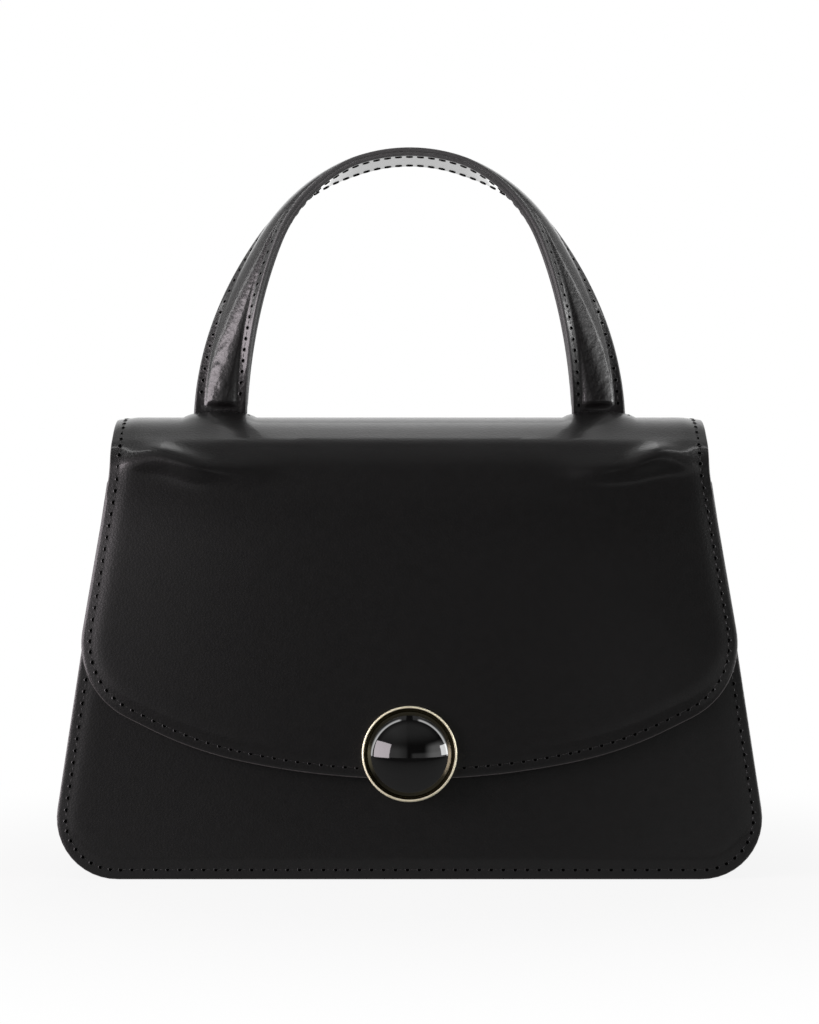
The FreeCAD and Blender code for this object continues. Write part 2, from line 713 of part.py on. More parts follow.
FRONT_REACH = clasp_cabochon().BoundBox.YMin
TO_MIDDLE = -(FRONT_REACH + BASE_DEPTH / 2) / 2

os.makedirs("parts", exist_ok=True)
for name, make in PIECES.items():
    piece = make()
    solid = piece.Solids[0].copy()
    solid.translate(Vector(0, TO_MIDDLE, 0))
    solid.exportStep("parts/" + name + ".step")
    print(name, len(piece.Solids), "solid, volume", round(solid.Volume, 1), solid.isValid())

print("flap hinge", round(HINGE_Y + TO_MIDDLE, 3), round(HINGE_Z, 3), "flap lean", round(FLAP_LEAN, 2))
print("handle hinge", round(SLIT_Y + TO_MIDDLE, 3), round(HANDLE_AXIS_Z, 3))
print("middle", round(TO_MIDDLE, 3), "slit", round(2 * SLIT_HALF, 2), "leg", [round(v, 1) for v in leg_arc()])
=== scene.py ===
"""Top handle bag: the looks of every piece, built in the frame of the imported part.

Each leather piece starts as a flat pattern with a shaped border, gets its thickness there
and is then formed over the bag, the way the real one is cut, skived, sewn and folded.
Lengths are millimetres until a piece is formed, and metres from there on.
"""

from __future__ import annotations

import json
import logging
import math
from collections.abc import Callable, Iterable, Sequence
from dataclasses import dataclass
from enum import Enum, IntEnum

import bmesh
import bpy
from bmesh.types import BMesh, BMFace, BMVert
from bpy.types import Material, Node, NodeSocket, NodeTree, Object, Scene
from mathutils import Matrix, Vector, noise


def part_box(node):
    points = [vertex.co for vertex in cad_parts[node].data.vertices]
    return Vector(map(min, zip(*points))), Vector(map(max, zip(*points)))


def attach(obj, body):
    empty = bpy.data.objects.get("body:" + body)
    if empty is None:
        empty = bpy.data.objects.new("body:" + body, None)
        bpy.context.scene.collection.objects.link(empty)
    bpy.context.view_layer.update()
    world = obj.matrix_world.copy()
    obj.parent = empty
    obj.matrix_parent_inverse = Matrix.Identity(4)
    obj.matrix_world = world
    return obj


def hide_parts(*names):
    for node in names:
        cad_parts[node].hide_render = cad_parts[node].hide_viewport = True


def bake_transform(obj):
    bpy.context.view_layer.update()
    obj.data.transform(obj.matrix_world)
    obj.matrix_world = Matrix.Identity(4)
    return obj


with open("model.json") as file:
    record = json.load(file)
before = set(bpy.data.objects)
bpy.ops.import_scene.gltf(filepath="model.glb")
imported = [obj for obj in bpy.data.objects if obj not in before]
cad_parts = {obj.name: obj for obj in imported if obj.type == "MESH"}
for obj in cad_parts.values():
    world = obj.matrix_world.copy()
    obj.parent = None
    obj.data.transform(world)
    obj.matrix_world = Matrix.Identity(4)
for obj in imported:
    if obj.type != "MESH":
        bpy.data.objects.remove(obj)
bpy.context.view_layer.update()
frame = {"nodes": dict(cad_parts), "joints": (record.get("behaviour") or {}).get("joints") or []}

MM = 0.001
SHARP = 0.5                      # radius of a corner that looks sharp
WALL_TILT = 0.3                  # faces of a cut edge stand up straighter than this
WAVE_PHASE = 20                  # phase that a wave texture gains over one unit of its scale
LAMP_POWER = 4                   # watts for each square metre of a lamp with a brightness of 1
log = logging.getLogger("bag")

Form = Callable[[float, float, float], Vector]
Relief = Callable[[float, float], float]
Border = Sequence[tuple[float, float]]
Points = tuple[tuple[float, float], ...]


class Body(str, Enum):
    """Moving bodies of the bag."""

    BAG = "bag"
    FLAP = "flap"
    HANDLE = "handle"


class Slot(str, Enum):
    """Material slots of the record."""

    LEATHER = "black_leather"
    LINING_LEATHER = "black_lining_leather"
    LINING_CLOTH = "black_lining_cloth"
    PADDING = "handle_padding"
    GILT = "gilt_brass"
    STONE = "black_stone"


class Side(IntEnum):
    """Material slots of a leather piece: its faces, and the painted cut edge."""

    FACE = 0
    EDGE = 1


class StitchSlot(IntEnum):
    """Material slots of a row of stitches: thread, painted shade in the needle holes, and leather pushed up
    round them.
    """

    THREAD = 0
    HOLE_SHADE = 1
    LIP = 2


class CupSlot(IntEnum):
    """Material slots of the clasp's cup: polished inside, satin outside and on the rim."""

    POLISHED = 0
    SATIN = 1


class Rounded(Enum):
    """Which rims of a cut edge are rubbed round."""

    BOTH = "both"
    UPPER = "upper"
    LOWER = "lower"


class Ease(Enum):
    """How a ramp of light changes between its ends."""

    SMOOTH = "SMOOTHSTEP"
    EVEN = "LINEAR"


class Texture(Enum):
    """Textures that draw fine relief."""

    NOISE = "ShaderNodeTexNoise"
    CELLS = "ShaderNodeTexVoronoi"
    RIBS = "ShaderNodeTexWave"


# Small helpers

def linear(hex_colour: str) -> tuple[float, float, float, float]:
    """Turn an sRGB hex value into a linear colour with full alpha."""
    parts = [int(hex_colour[i:i + 2], 16) / 255 for i in (1, 3, 5)]
    return (*[c / 12.92 if c <= 0.04045 else ((c + 0.055) / 1.055) ** 2.4 for c in parts], 1.0)


def add_node(
    tree: NodeTree, kind: str, settings: dict | None = None, links: dict | None = None
) -> Node:
    """Add a node with its settings and links.

    Args:
        tree: Node tree that gets the node.
        kind: Node type.
        settings: Values by name; a lower-case name is a property, anything else an input.
        links: Output sockets by the input that each one feeds.

    Returns:
        The new node.
    """
    node = tree.nodes.new(kind)
    for name, value in (settings or {}).items():
        if isinstance(name, str) and name.islower():
            setattr(node, name, value)
        else:
            node.inputs[name].default_value = value
    for name, socket in (links or {}).items():
        tree.links.new(node.inputs[name], socket)
    return node


def per_metre(size_mm: float) -> float:
    """Texture scale at which one cell is size_mm wide."""
    return 1 / (size_mm * MM)


def smooth_step(low: float, high: float, value: float) -> float:
    """Rise smoothly from 0 at low to 1 at high."""
    t = min(max((value - low) / (high - low), 0.0), 1.0)
    return t * t * (3 - 2 * t)


def lerp(a: float, b: float, t: float) -> float:
    """Value between a and b."""
    return a + (b - a) * t


def soft_min(a: float, b: float, width: float) -> float:
    """Smaller of two values, rounded where they differ by less than width."""
    return min(a, b) - width * max(1 - abs(a - b) / width, 0.0) ** 2 / 4


def node_box(node: str) -> tuple[Vector, Vector]:
    """Lowest and highest corner of a CAD node, in millimetres."""
    low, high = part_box(node)
    return low / MM, high / MM


def joint_place(name: str) -> Vector:
    """Where a joint's axis passes the middle of the bag, in millimetres."""
    joint = next(j for j in frame["joints"] if j["name"] == name)
    return Vector(joint["pos_m"]) / MM


def upside_down(form: Form) -> Form:
    """Form for the underside of a piece, where heights count downwards."""
    return lambda u, v, n: form(u, v, -n)


# Finishes

@dataclass(frozen=True)
class Layer:
    """One layer of fine relief; its cell and depth are in millimetres."""

    texture: Texture
    cell: float
    depth: float
    strength: float = 1.0
    settings: tuple[tuple[str, float | str], ...] = ()

    def add(
        self, tree: NodeTree, place: NodeSocket, below: NodeSocket | None
    ) -> NodeSocket:
        """Add the layer's texture and bump.

        Args:
            tree: Material's node tree.
            place: Coordinates of the pattern.
            below: Normal of the layer under this one, if there is one.

        Returns:
            The normal with this layer on it.
        """
        ribs = self.texture is Texture.RIBS
        scale = per_metre(self.cell) / (WAVE_PHASE if ribs else 1)
        pattern = add_node(
            tree, self.texture.value, {"Scale": scale, **dict(self.settings)}, {"Vector": place}
        )
        links = {"Height": pattern.outputs[1 if ribs else 0]}
        if below is not None:
            links["Normal"] = below
        bump = {"Strength": self.strength, "Distance": self.depth * MM}
        return add_node(tree, "ShaderNodeBump", bump, links).outputs[0]


@dataclass(frozen=True)
class Finish:
    """A finish: one named node material round a Principled shader, its dye in soft patches."""

    name: str
    colour: str
    tone: str
    roughness: float
    patch_mm: float = 3.0
    spread: float = 0.1          # roughness difference between patches

    def relief(self) -> tuple[Layer, ...]:
        """Layers of fine relief, from the lowest up."""
        return ()

    def shine(self) -> dict[str, float]:
        """Values of the shader's own sockets."""
        return {}

    def material(self) -> Material:
        """Make the material, or find it if a piece already asked for it.

        Returns:
            The material with the finish's name.
        """
        known = bpy.data.materials.get(self.name)
        if known:
            return known
        material = bpy.data.materials.new(self.name)
        material.use_nodes = True
        tree = material.node_tree
        shader = tree.nodes["Principled BSDF"]
        place = add_node(tree, "ShaderNodeTexCoord").outputs["Object"]
        self._dye(tree, shader, place)
        normals: list[NodeSocket] = []
        for layer in self.relief():
            normals.append(layer.add(tree, place, normals[-1] if normals else None))
        if normals:
            tree.links.new(shader.inputs["Coat Normal"], normals[0])
            tree.links.new(shader.inputs["Normal"], normals[-1])
        for name, value in self.shine().items():
            shader.inputs[name].default_value = value
        return material

    def _dye(self, tree: NodeTree, shader: Node, place: NodeSocket) -> None:
        """Vary colour and roughness in soft patches.

        Args:
            tree: Material's node tree.
            shader: Its Principled node.
            place: Coordinates of the pattern.
        """
        patch = add_node(
            tree, "ShaderNodeTexNoise", {"Scale": per_metre(self.patch_mm), "Detail": 4.0},
            {"Vector": place},
        ).outputs[0]
        mix = add_node(
            tree, "ShaderNodeMix",
            {"data_type": "RGBA", 6: linear(self.colour), 7: linear(self.tone)}, {0: patch},
        )
        low, high = self.roughness - self.spread / 2, self.roughness + self.spread / 2
        rough = add_node(
            tree, "ShaderNodeMapRange",
            {"From Min": 0.3, "From Max": 0.7, "To Min": low, "To Max": high}, {"Value": patch},
        )
        tree.links.new(shader.inputs["Base Color"], mix.outputs[2])
        tree.links.new(shader.inputs["Roughness"], rough.outputs[0])


@dataclass(frozen=True)
class CalfLeather(Finish):
    """Chrome-tanned calf, finished and plated: fine pores, soft waves and a waxed gloss."""

    spread: float = 0.03
    grain_mm: float = 0.75       # real pores are about 0.2 mm; drawn coarser so that they show
    grain_depth: float = 0.035
    wave_mm: float = 26.0        # slow unevenness of a hide pulled over board
    wave_depth: float = 0.04
    coat: float = 0.3
    coat_roughness: float = 0.1
    specular: float = 0.4

    def relief(self) -> tuple[Layer, ...]:
        """Slow waves with pores on them."""
        waves = Layer(Texture.NOISE, self.wave_mm, self.wave_depth, settings=(("Detail", 1.0),))
        return waves, Layer(Texture.CELLS, self.grain_mm, self.grain_depth)

    def shine(self) -> dict[str, float]:
        """A thin coat of wax over the hide."""
        wax = {"Coat Weight": self.coat, "Coat Roughness": self.coat_roughness}
        return {"Specular IOR Level": self.specular, **wax}


@dataclass(frozen=True)
class PaintedEdge(Finish):
    """Burnished and painted cut edge: a slightly lumpy, satin acrylic bead."""

    patch_mm: float = 4.0
    lump_mm: float = 1.6
    lump_depth: float = 0.05

    def relief(self) -> tuple[Layer, ...]:
        """Low lumps where the paint was rolled on."""
        return (Layer(Texture.NOISE, self.lump_mm, self.lump_depth, 0.6),)


@dataclass(frozen=True)
class WaxedThread(Finish):
    """Bonded polyester thread: matt black with a little wax on the twist."""

    patch_mm: float = 0.8
    spread: float = 0.12
    twist_mm: float = 0.35
    twist_depth: float = 0.04

    def relief(self) -> tuple[Layer, ...]:
        """Twist of the fibres."""
        slanting = (("bands_direction", "DIAGONAL"),)
        return (Layer(Texture.RIBS, self.twist_mm, self.twist_depth, 0.5, slanting),)


@dataclass(frozen=True)
class TwillCloth(Finish):
    """Cotton twill lining: diagonal ribs, matt, with a faint sheen of fibre."""

    patch_mm: float = 9.0
    spread: float = 0.08
    rib_mm: float = 0.9          # real ribs are about 0.4 mm; drawn coarser so that they show
    rib_depth: float = 0.12
    weft_depth: float = 0.05

    def relief(self) -> tuple[Layer, ...]:
        """Diagonal ribs crossed by a finer weft."""
        slanting = (("bands_direction", "DIAGONAL"), ("Distortion", 0.4))
        return (
            Layer(Texture.RIBS, self.rib_mm, self.rib_depth, 0.7, slanting),
            Layer(Texture.RIBS, self.rib_mm / 2, self.weft_depth, 0.5, (("bands_direction", "X"),)),
        )

    def shine(self) -> dict[str, float]:
        """Sheen of loose fibre."""
        return {"Sheen Weight": 0.25, "Sheen Roughness": 0.5}


@dataclass(frozen=True)
class PlatedMetal(Finish):
    """Turned, polished and plated metal: bright, with faint polishing haze."""

    patch_mm: float = 2.5
    spread: float = 0.06
    mark_mm: float = 0.5
    mark_depth: float = 0.004

    def relief(self) -> tuple[Layer, ...]:
        """Hair-fine polishing marks."""
        return (Layer(Texture.NOISE, self.mark_mm, self.mark_depth, 0.4, (("Detail", 6.0),)),)

    def shine(self) -> dict[str, float]:
        """Metal through and through."""
        return {"Metallic": 1.0}


@dataclass(frozen=True)
class PolishedStone(Finish):
    """Black glass cabochon, fire polished: deep, mirror smooth, with the faintest cloud."""

    patch_mm: float = 7.0
    spread: float = 0.02
    ior: float = 1.57            # light lead glass

    def shine(self) -> dict[str, float]:
        """Glass, heavier than window glass."""
        return {"IOR": self.ior}


@dataclass(frozen=True)
class FibreStock(Finish):
    """Pressed fibre board or cut foam: matt, with short fibres or cells as wide as its patches."""

    patch_mm: float = 1.2
    fleck_depth: float = 0.1
    specular: float = 0.5

    def relief(self) -> tuple[Layer, ...]:
        """Flecks that stand up where the colour changes."""
        return (Layer(Texture.CELLS, self.patch_mm, self.fleck_depth, 0.6),)

    def shine(self) -> dict[str, float]:
        """Little or no gloss."""
        return {"Specular IOR Level": self.specular}


# Box calf, plated smooth and waxed: nearly black, with a broad soft gloss
BOX_CALF = CalfLeather("black_box_calf", "#070606", "#0b0a0a", 0.38)
# The same calf where hands have worn it: fine creases that break its gloss up
HANDLE_CALF = CalfLeather(
    "black_box_calf_handle", "#080707", "#100d0e", 0.36, grain_mm=1.0, grain_depth=0.07,
    wave_mm=2.2, wave_depth=0.07, coat=0.55, coat_roughness=0.14,
)
# Calf glazed with agate: almost without pores, with a hard clear gloss
GLAZED_CALF = CalfLeather(
    "black_glazed_calf", "#0b0a0a", "#121010", 0.2, grain_depth=0.004, coat=1.0, coat_roughness=0.05,
    specular=0.5,
)
# Thin lining calf: a shade greyer and duller than the outside
LINING_LEATHER = CalfLeather(
    "black_lining_leather", "#121011", "#1a1717", 0.42, grain_depth=0.012, coat=0.15, coat_roughness=0.3
)
# Acrylic edge paint: a satin dark grey line round the cut leather, greyer than the black paint so that it
# also carries painted sheen of the rounded edge
EDGE_PAINT_AND_SHEEN = PaintedEdge("black_edge_paint", "#2f2d2d", "#4b4747", 0.32)
# The same paint on the handle in a lighter grey: painted sheen of its glossy rounded edge, which mirrors
# the bright surround
HANDLE_EDGE_SHEEN = PaintedEdge("handle_edge_paint_painted_sheen", "#434343", "#4f4f4f", 0.36)
# Waxed polyester thread: matt black, sunk in the leather
THREAD = WaxedThread("black_waxed_thread", "#090808", "#131112", 0.5)
# Painted shade in a needle hole: near black, fuzzy and without any gloss, so that it shows as a black dot
NEEDLE_HOLE_SHADE = FibreStock(
    "needle_hole_shadow", "#020202", "#040404", 0.9, patch_mm=0.4, fleck_depth=0.02, specular=0.0
)
# Cotton twill: matt black ribs
TWILL = TwillCloth("black_cotton_twill", "#100f10", "#1b191a", 0.85)
# Brass with a pale gold plating, polished: mirrors the stone that it holds
GILT = PlatedMetal("pale_gilt_brass", "#f5e7ba", "#fbf1d0", 0.2)
# The same plating brushed satin: an even pale line round the stone
SATIN_GILT = PlatedMetal("satin_gilt_brass", "#fff5d4", "#fffbe9", 0.62)
# Nickel on steel: warm grey and bright
NICKEL = PlatedMetal("nickel_plated_steel", "#b9b5ac", "#cbc8c0", 0.22)
# Sintered magnet: dark grey metal, half dull
MAGNET = PlatedMetal("sintered_magnet", "#56555a", "#6a696d", 0.45)
# Black glass: a deep mirror
STONE = PolishedStone("black_glass", "#030303", "#080707", 0.035)
# Pressed fibre board: dull brown with short fibres
BOARD = FibreStock("pressed_fibre_board", "#3a332c", "#4b4339", 0.85)
# Dense foam: dark grey with open cells
FOAM = FibreStock("dense_handle_foam", "#1d1c1d", "#2b2a2b", 0.9, patch_mm=0.8, fleck_depth=0.2)


# Cutting patterns

@dataclass(frozen=True)
class Corner:
    """Corner of a cutting pattern, with the radius that rounds it."""

    u: float
    v: float
    radius: float


@dataclass(frozen=True)
class Run:
    """One straight or round stretch of an outline."""

    start: Vector
    end: Vector
    centre: Vector | None = None
    radius: float = 0.0
    from_angle: float = 0.0
    turn: float = 0.0

    @property
    def length(self) -> float:
        """Length along the run."""
        return abs(self.turn) * self.radius if self.centre else (self.end - self.start).length

    def at(self, share: float) -> tuple[Vector, Vector]:
        """Find a point of the run.

        Args:
            share: Share of the run's length.

        Returns:
            The point and the outward direction there.
        """
        if self.centre is None:
            along = (self.end - self.start).normalized()
            return self.start.lerp(self.end, share), Vector((along.y, -along.x))
        angle = self.from_angle + self.turn * share
        spoke = Vector((math.cos(angle), math.sin(angle)))
        return self.centre + spoke * self.radius, spoke * math.copysign(1, self.turn)


class Outline:
    """Closed cutting outline: straight runs joined by arcs, listed counter-clockwise."""

    least_radius = 0.4
    area_points = 400

    def __init__(self, corners: Sequence[Corner]) -> None:
        """Keep the corners and work out the runs of the cut line.

        Args:
            corners: Corners of the outline, counter-clockwise.
        """
        self.corners = list(corners)
        self.runs = self._runs(self.corners)
        self.length = sum(run.length for run in self.runs)
        self._insets = {0.0: self.runs}

    def _moved(self, inset: float) -> list[Corner]:
        """Move the corners inwards.

        Args:
            inset: How far inside the cut line the new line lies.

        Returns:
            The corners of the new line.
        """
        lines = []
        for a, b in zip(self.corners, self.corners[1:] + self.corners[:1]):
            along = Vector((b.u - a.u, b.v - a.v)).normalized()
            lines.append((Vector((a.u, a.v)) + Vector((-along.y, along.x)) * inset, along))
        moved = []
        for corner, before, after in zip(self.corners, lines[-1:] + lines[:-1], lines):
            turn = before[1].cross(after[1])
            reach = (after[0] - before[0]).cross(after[1]) / turn
            place = before[0] + before[1] * reach
            radius = max(corner.radius - math.copysign(inset, turn), self.least_radius)
            moved.append(Corner(place.x, place.y, radius))
        return moved

    @staticmethod
    def _runs(corners: Sequence[Corner]) -> list[Run]:
        """Work out the arc of each corner and the straight run to the next.

        Args:
            corners: Corners of a closed line.

        Returns:
            Arcs and straight runs in turn.
        """
        places = [Vector((c.u, c.v)) for c in corners]
        arcs = []
        for i, corner in enumerate(corners):
            back = (places[i - 1] - places[i]).normalized()
            ahead = (places[(i + 1) % len(places)] - places[i]).normalized()
            half = back.angle(ahead) / 2
            reach = corner.radius / math.tan(half)
            centre = places[i] + (back + ahead).normalized() * (corner.radius / math.sin(half))
            start = places[i] + back * reach
            turn = math.copysign(math.pi - 2 * half, (-back).cross(ahead))
            spoke = start - centre
            arcs.append(Run(
                start, places[i] + ahead * reach, centre, corner.radius, math.atan2(spoke.y, spoke.x), turn
            ))
        runs = []
        for arc, following in zip(arcs, arcs[1:] + arcs[:1]):
            runs += [arc, Run(arc.end, following.start)]
        return runs

    def at(self, distance: float, inset: float = 0.0) -> tuple[Vector, Vector]:
        """Point of the line at inset that goes with a distance along the cut line.

        Args:
            distance: Distance along the cut line, from the first corner's arc.
            inset: How far inside the cut line the point lies.

        Returns:
            The point and the outward direction there.
        """
        if inset not in self._insets:
            self._insets[inset] = self._runs(self._moved(inset))
        left = distance % self.length
        for run, moved in zip(self.runs, self._insets[inset]):
            if left <= run.length:
                break
            left -= run.length
        return moved.at(min(left / max(run.length, 1e-9), 1.0))

    def middle_of(self, corner: int) -> float:
        """Distance to the middle of a corner's arc."""
        return sum(run.length for run in self.runs[:2 * corner]) + self.runs[2 * corner].length / 2

    def start_of_run(self, run: int) -> float:
        """Distance to the start of a run; arcs have even numbers and straights odd ones."""
        return sum(r.length for r in self.runs[:run])

    def area(self) -> float:
        """Flat area in square millimetres."""
        points = [self.at(self.length * i / self.area_points)[0] for i in range(self.area_points)]
        return sum(a.cross(b) for a, b in zip(points, points[1:] + points[:1])) / 2


@dataclass
class Pattern:
    """Flat piece cut to an outline, with a shaped border, ready to be formed."""

    outline: Outline
    border: Border               # rings from the inside out: inset from the cut line, and height
    thickness: float
    cell: tuple[float, float] = (3.0, 3.0)
    edge_round: float = 0.3
    relief: Relief | None = None
    rounded: Rounded = Rounded.BOTH
    grid_corners: tuple[int, int, int, int] = (0, 1, 2, 3)

    def stitch_height(self, u: float, v: float, inset: float) -> float:
        """Height of the surface where a seam runs at inset from the edge."""
        below = max((b for b in self.border if b[0] <= inset), key=lambda b: b[0])
        return below[1] + (self.relief(u, v) if self.relief else 0.0)

    def cut(self) -> BMesh:
        """Cut the upper face: an even grid inside, and rings that follow the edge.

        Returns:
            The flat face.
        """
        stops = [self.outline.middle_of(c) for c in self.grid_corners]
        stops.append(stops[0] + self.outline.length)
        across = max(stops[1] - stops[0], stops[3] - stops[2])
        along = max(stops[2] - stops[1], stops[4] - stops[3])
        columns, rows = round(across / self.cell[0]), round(along / self.cell[1])
        bm = bmesh.new()
        bmesh.ops.create_grid(bm, x_segments=columns, y_segments=rows, size=1.0)
        inset, height = self.border[0]
        distances: dict[BMVert, float] = {}

        def side(i: int, share: float) -> Vector:
            """Point of the innermost ring on one side of the grid."""
            return self.outline.at(lerp(stops[i], stops[i + 1], share), inset)[0]

        p00, p10, p11, p01 = (side(i, 0.0) for i in range(4))
        for vert in bm.verts:
            a, b = (vert.co.x + 1) / 2, (vert.co.y + 1) / 2
            low, right, top, left = side(0, a), side(1, b), side(2, 1 - a), side(3, 1 - b)
            edges = low * (1 - b) + top * b + left * (1 - a) + right * a
            ends = p00 * (1 - a) * (1 - b) + p10 * a * (1 - b) + p11 * a * b + p01 * (1 - a) * b
            if vert.is_boundary:
                on_side = {a: (3, 1 - b), 1 - a: (1, b), b: (0, a), 1 - b: (2, 1 - a)}
                i, share = on_side[min(on_side)]
                distances[vert] = lerp(stops[i], stops[i + 1], share)
            place = edges - ends
            vert.co = Vector((place.x, place.y, height))
        for inset, height in self.border[1:]:
            distances = self._add_ring(bm, distances, inset, height)
        return bm

    def _add_ring(
        self, bm: BMesh, distances: dict[BMVert, float], inset: float, height: float
    ) -> dict[BMVert, float]:
        """Extrude the open edge outwards to the line at inset.

        Args:
            bm: Flat piece.
            distances: Distance along the cut line for each vertex of its open edge.
            inset: How far inside the cut line the new ring lies.
            height: Height of the new ring.

        Returns:
            The distances for the new open edge.
        """
        rim = [e for e in bm.edges if e.is_boundary and e.verts[0] in distances]
        made = bmesh.ops.extrude_edge_only(bm, edges=rim)["geom"]
        outer = {}
        for vert in (g for g in made if isinstance(g, BMVert)):
            inner = next(e.other_vert(vert) for e in vert.link_edges if e.other_vert(vert) in distances)
            outer[vert] = distances[inner]
        for vert, distance in outer.items():
            place, _ = self.outline.at(distance, inset)
            vert.co = Vector((place.x, place.y, height))
        return outer

    def thicken(self, bm: BMesh) -> None:
        """Raise the relief, give the piece its thickness and round the cut edge.

        Args:
            bm: Flat face that gets a second one below it.
        """
        if self.relief:
            for vert in bm.verts:
                vert.co.z += self.relief(vert.co.x, vert.co.y)
        made = bmesh.ops.extrude_face_region(bm, geom=bm.faces[:], use_keep_orig=True)["geom"]
        under = [g for g in made if isinstance(g, BMVert)]
        bmesh.ops.translate(bm, verts=under, vec=Vector((0, 0, -self.thickness)))
        bmesh.ops.recalc_face_normals(bm, faces=bm.faces[:])
        bm.normal_update()
        walls = {f for f in bm.faces if abs(f.normal.z) < WALL_TILT}
        rim = []
        for edge in bm.edges:
            caps = [f for f in edge.link_faces if f not in walls]
            if len(caps) == 1:
                side = Rounded.UPPER if caps[0].normal.z > 0 else Rounded.LOWER
                rim += [edge] if self.rounded in (Rounded.BOTH, side) else []
        for face in walls:
            face.material_index = Side.EDGE
        if self.edge_round:
            made = bmesh.ops.bevel(
                bm, geom=rim, offset=self.edge_round, offset_type="OFFSET", affect="EDGES", segments=2,
                profile=0.5, material=-1,
            )
            for face in made["faces"]:
                face.material_index = Side.EDGE

    def formed(self, form: Form, prepare: Callable[[BMesh], None] | None = None) -> BMesh:
        """Cut the piece, thicken it and form it over the bag.

        Args:
            form: Turns a place on the pattern and a height into a point in metres.
            prepare: Work on the flat face before it is thickened, such as cutting slits.

        Returns:
            The closed piece in its place.
        """
        bm = self.cut()
        if prepare:
            prepare(bm)
        self.thicken(bm)
        for vert in bm.verts:
            vert.co = form(*vert.co)
        bmesh.ops.recalc_face_normals(bm, faces=bm.faces[:])
        return bm


def make_piece(
    name: str, bm: BMesh, finishes: Sequence[Finish], nodes: Sequence[str] = (),
    body: Body | None = None,
) -> Object:
    """Turn a formed bmesh into a smooth-shaded object at the origin, hide the CAD nodes that it replaces
    and attach it to its body.

    Args:
        name: Name of the piece.
        bm: Its mesh in metres; it is freed.
        finishes: Finishes in the order of the mesh's materials.
        nodes: CAD nodes that the piece replaces.
        body: Body that it rides on, or None to leave it unattached.

    Returns:
        The new object.
    """
    mesh = bpy.data.meshes.new(name)
    bm.to_mesh(mesh)
    bm.free()
    mesh.polygons.foreach_set("use_smooth", [True] * len(mesh.polygons))
    for finish in finishes:
        mesh.materials.append(finish.material())
    obj = bpy.data.objects.new(name, mesh)
    bpy.context.scene.collection.objects.link(obj)
    if nodes:
        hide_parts(*nodes)
    if body:
        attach(obj, body.value)
    log.info("%s: %d faces", name, len(mesh.polygons))
    return obj


# Stitching

@dataclass(frozen=True)
class Stitch:
    """One lockstitch: a needle hole with its pushed-up lip, and the thread sunk between two holes."""

    pitch: float = 4.0
    length: float = 2.3
    thread: float = 0.5
    thread_faces: tuple[int, int] = (6, 4)
    sunk: float = 0.4            # how much of the thread lies in the leather
    hole: float = 1.2
    hole_sides: int = 8
    lip: float = 0.35
    lip_crest: float = 0.65      # share of the lip that rises towards the hole; the rest falls
    lip_height: float = 0.1
    floor: float = 0.25          # height of the hole's floor, which carries the painted shade, as a share of the lip's
    root: float = 0.08           # how deep the lip starts below the surface

    def place(self, form: Form, at: Vector, along: Vector, height: float) -> Matrix:
        """Frame of a stitch: X along the seam, Z out of the leather.

        Args:
            form: Form of the piece that is sewn.
            at: Place on its pattern.
            along: Direction of the seam on the pattern.
            height: Height of the surface there.

        Returns:
            The stitch's matrix in metres.
        """

        def step(by: Vector) -> Vector:
            """Way across the formed surface from one side of the stitch to the other."""
            return form(at.x + by.x, at.y + by.y, height) - form(at.x - by.x, at.y - by.y, height)

        origin = form(at.x, at.y, height)
        ahead = step(along / 2).normalized()
        out = ahead.cross(step(Vector((-along.y, along.x)) / 2)).normalized()
        if out.dot(form(at.x, at.y, height + 1) - origin) < 0:
            out.negate()
        turn = Matrix((ahead, out.cross(ahead), out)).transposed()
        return Matrix.Translation(origin) @ turn.to_4x4()

    def sew(self, places: Iterable[Matrix]) -> BMesh:
        """Make a row of stitches, each a copy of one thread and its hole.

        Args:
            places: Frame of each stitch.

        Returns:
            The row in metres.
        """
        one = bpy.data.meshes.new("stitch")
        pattern = self._one()
        pattern.to_mesh(one)
        pattern.free()
        bm = bmesh.new()
        for place in places:
            copy = one.copy()
            copy.transform(place)
            bm.from_mesh(copy)
            bpy.data.meshes.remove(copy)
        bpy.data.meshes.remove(one)
        return bm

    def _one(self) -> BMesh:
        """Make one stitch at the origin: a thread of few faces, and a small crater beside it.

        Returns:
            The stitch in metres.
        """
        bm = bmesh.new()
        size = Matrix.Diagonal((self.length / 2, self.thread / 2, self.thread / 2, 1))
        lift = Matrix.Translation((0, 0, self.thread / 2 - self.sunk))
        around, along = self.thread_faces
        bmesh.ops.create_uvsphere(bm, u_segments=around, v_segments=along, radius=1.0, matrix=lift @ size)
        for face in bm.faces:
            face.material_index = StitchSlot.THREAD
        rim = bmesh.ops.create_circle(
            bm, cap_ends=True, segments=self.hole_sides, radius=self.hole / 2 + self.lip,
            matrix=Matrix.Translation((self.pitch / 2, 0, -self.root)),
        )
        floor = rim["verts"][0].link_faces[0]
        rise = (self.lip * self.lip_crest, self.root + self.lip_height)
        fall = (self.lip * (1 - self.lip_crest), (self.floor - 1) * self.lip_height)
        for thickness, depth in (rise, fall):
            made = bmesh.ops.inset_individual(bm, faces=[floor], thickness=thickness, depth=depth)
            for face in made["faces"]:
                face.material_index = StitchSlot.LIP
        # The hole's floor is near black: painted shade in the hole.
        floor.material_index = StitchSlot.HOLE_SHADE
        bmesh.ops.scale(bm, verts=bm.verts[:], vec=Vector((MM, MM, MM)))
        return bm


SEAM = Stitch()
UNDER_SEAM = Stitch(length=2.7, thread=0.55, sunk=0.25, hole=0.6, lip=0.15, lip_height=0.05)
DASH_SEAM = Stitch(length=3.0, thread=0.55, sunk=0.12, hole=0.4, lip=0.1, lip_height=0.04)
LIP_SEAM = Stitch(pitch=3.2, length=1.4, hole=0.7, lip=0.2, lip_height=0.1)


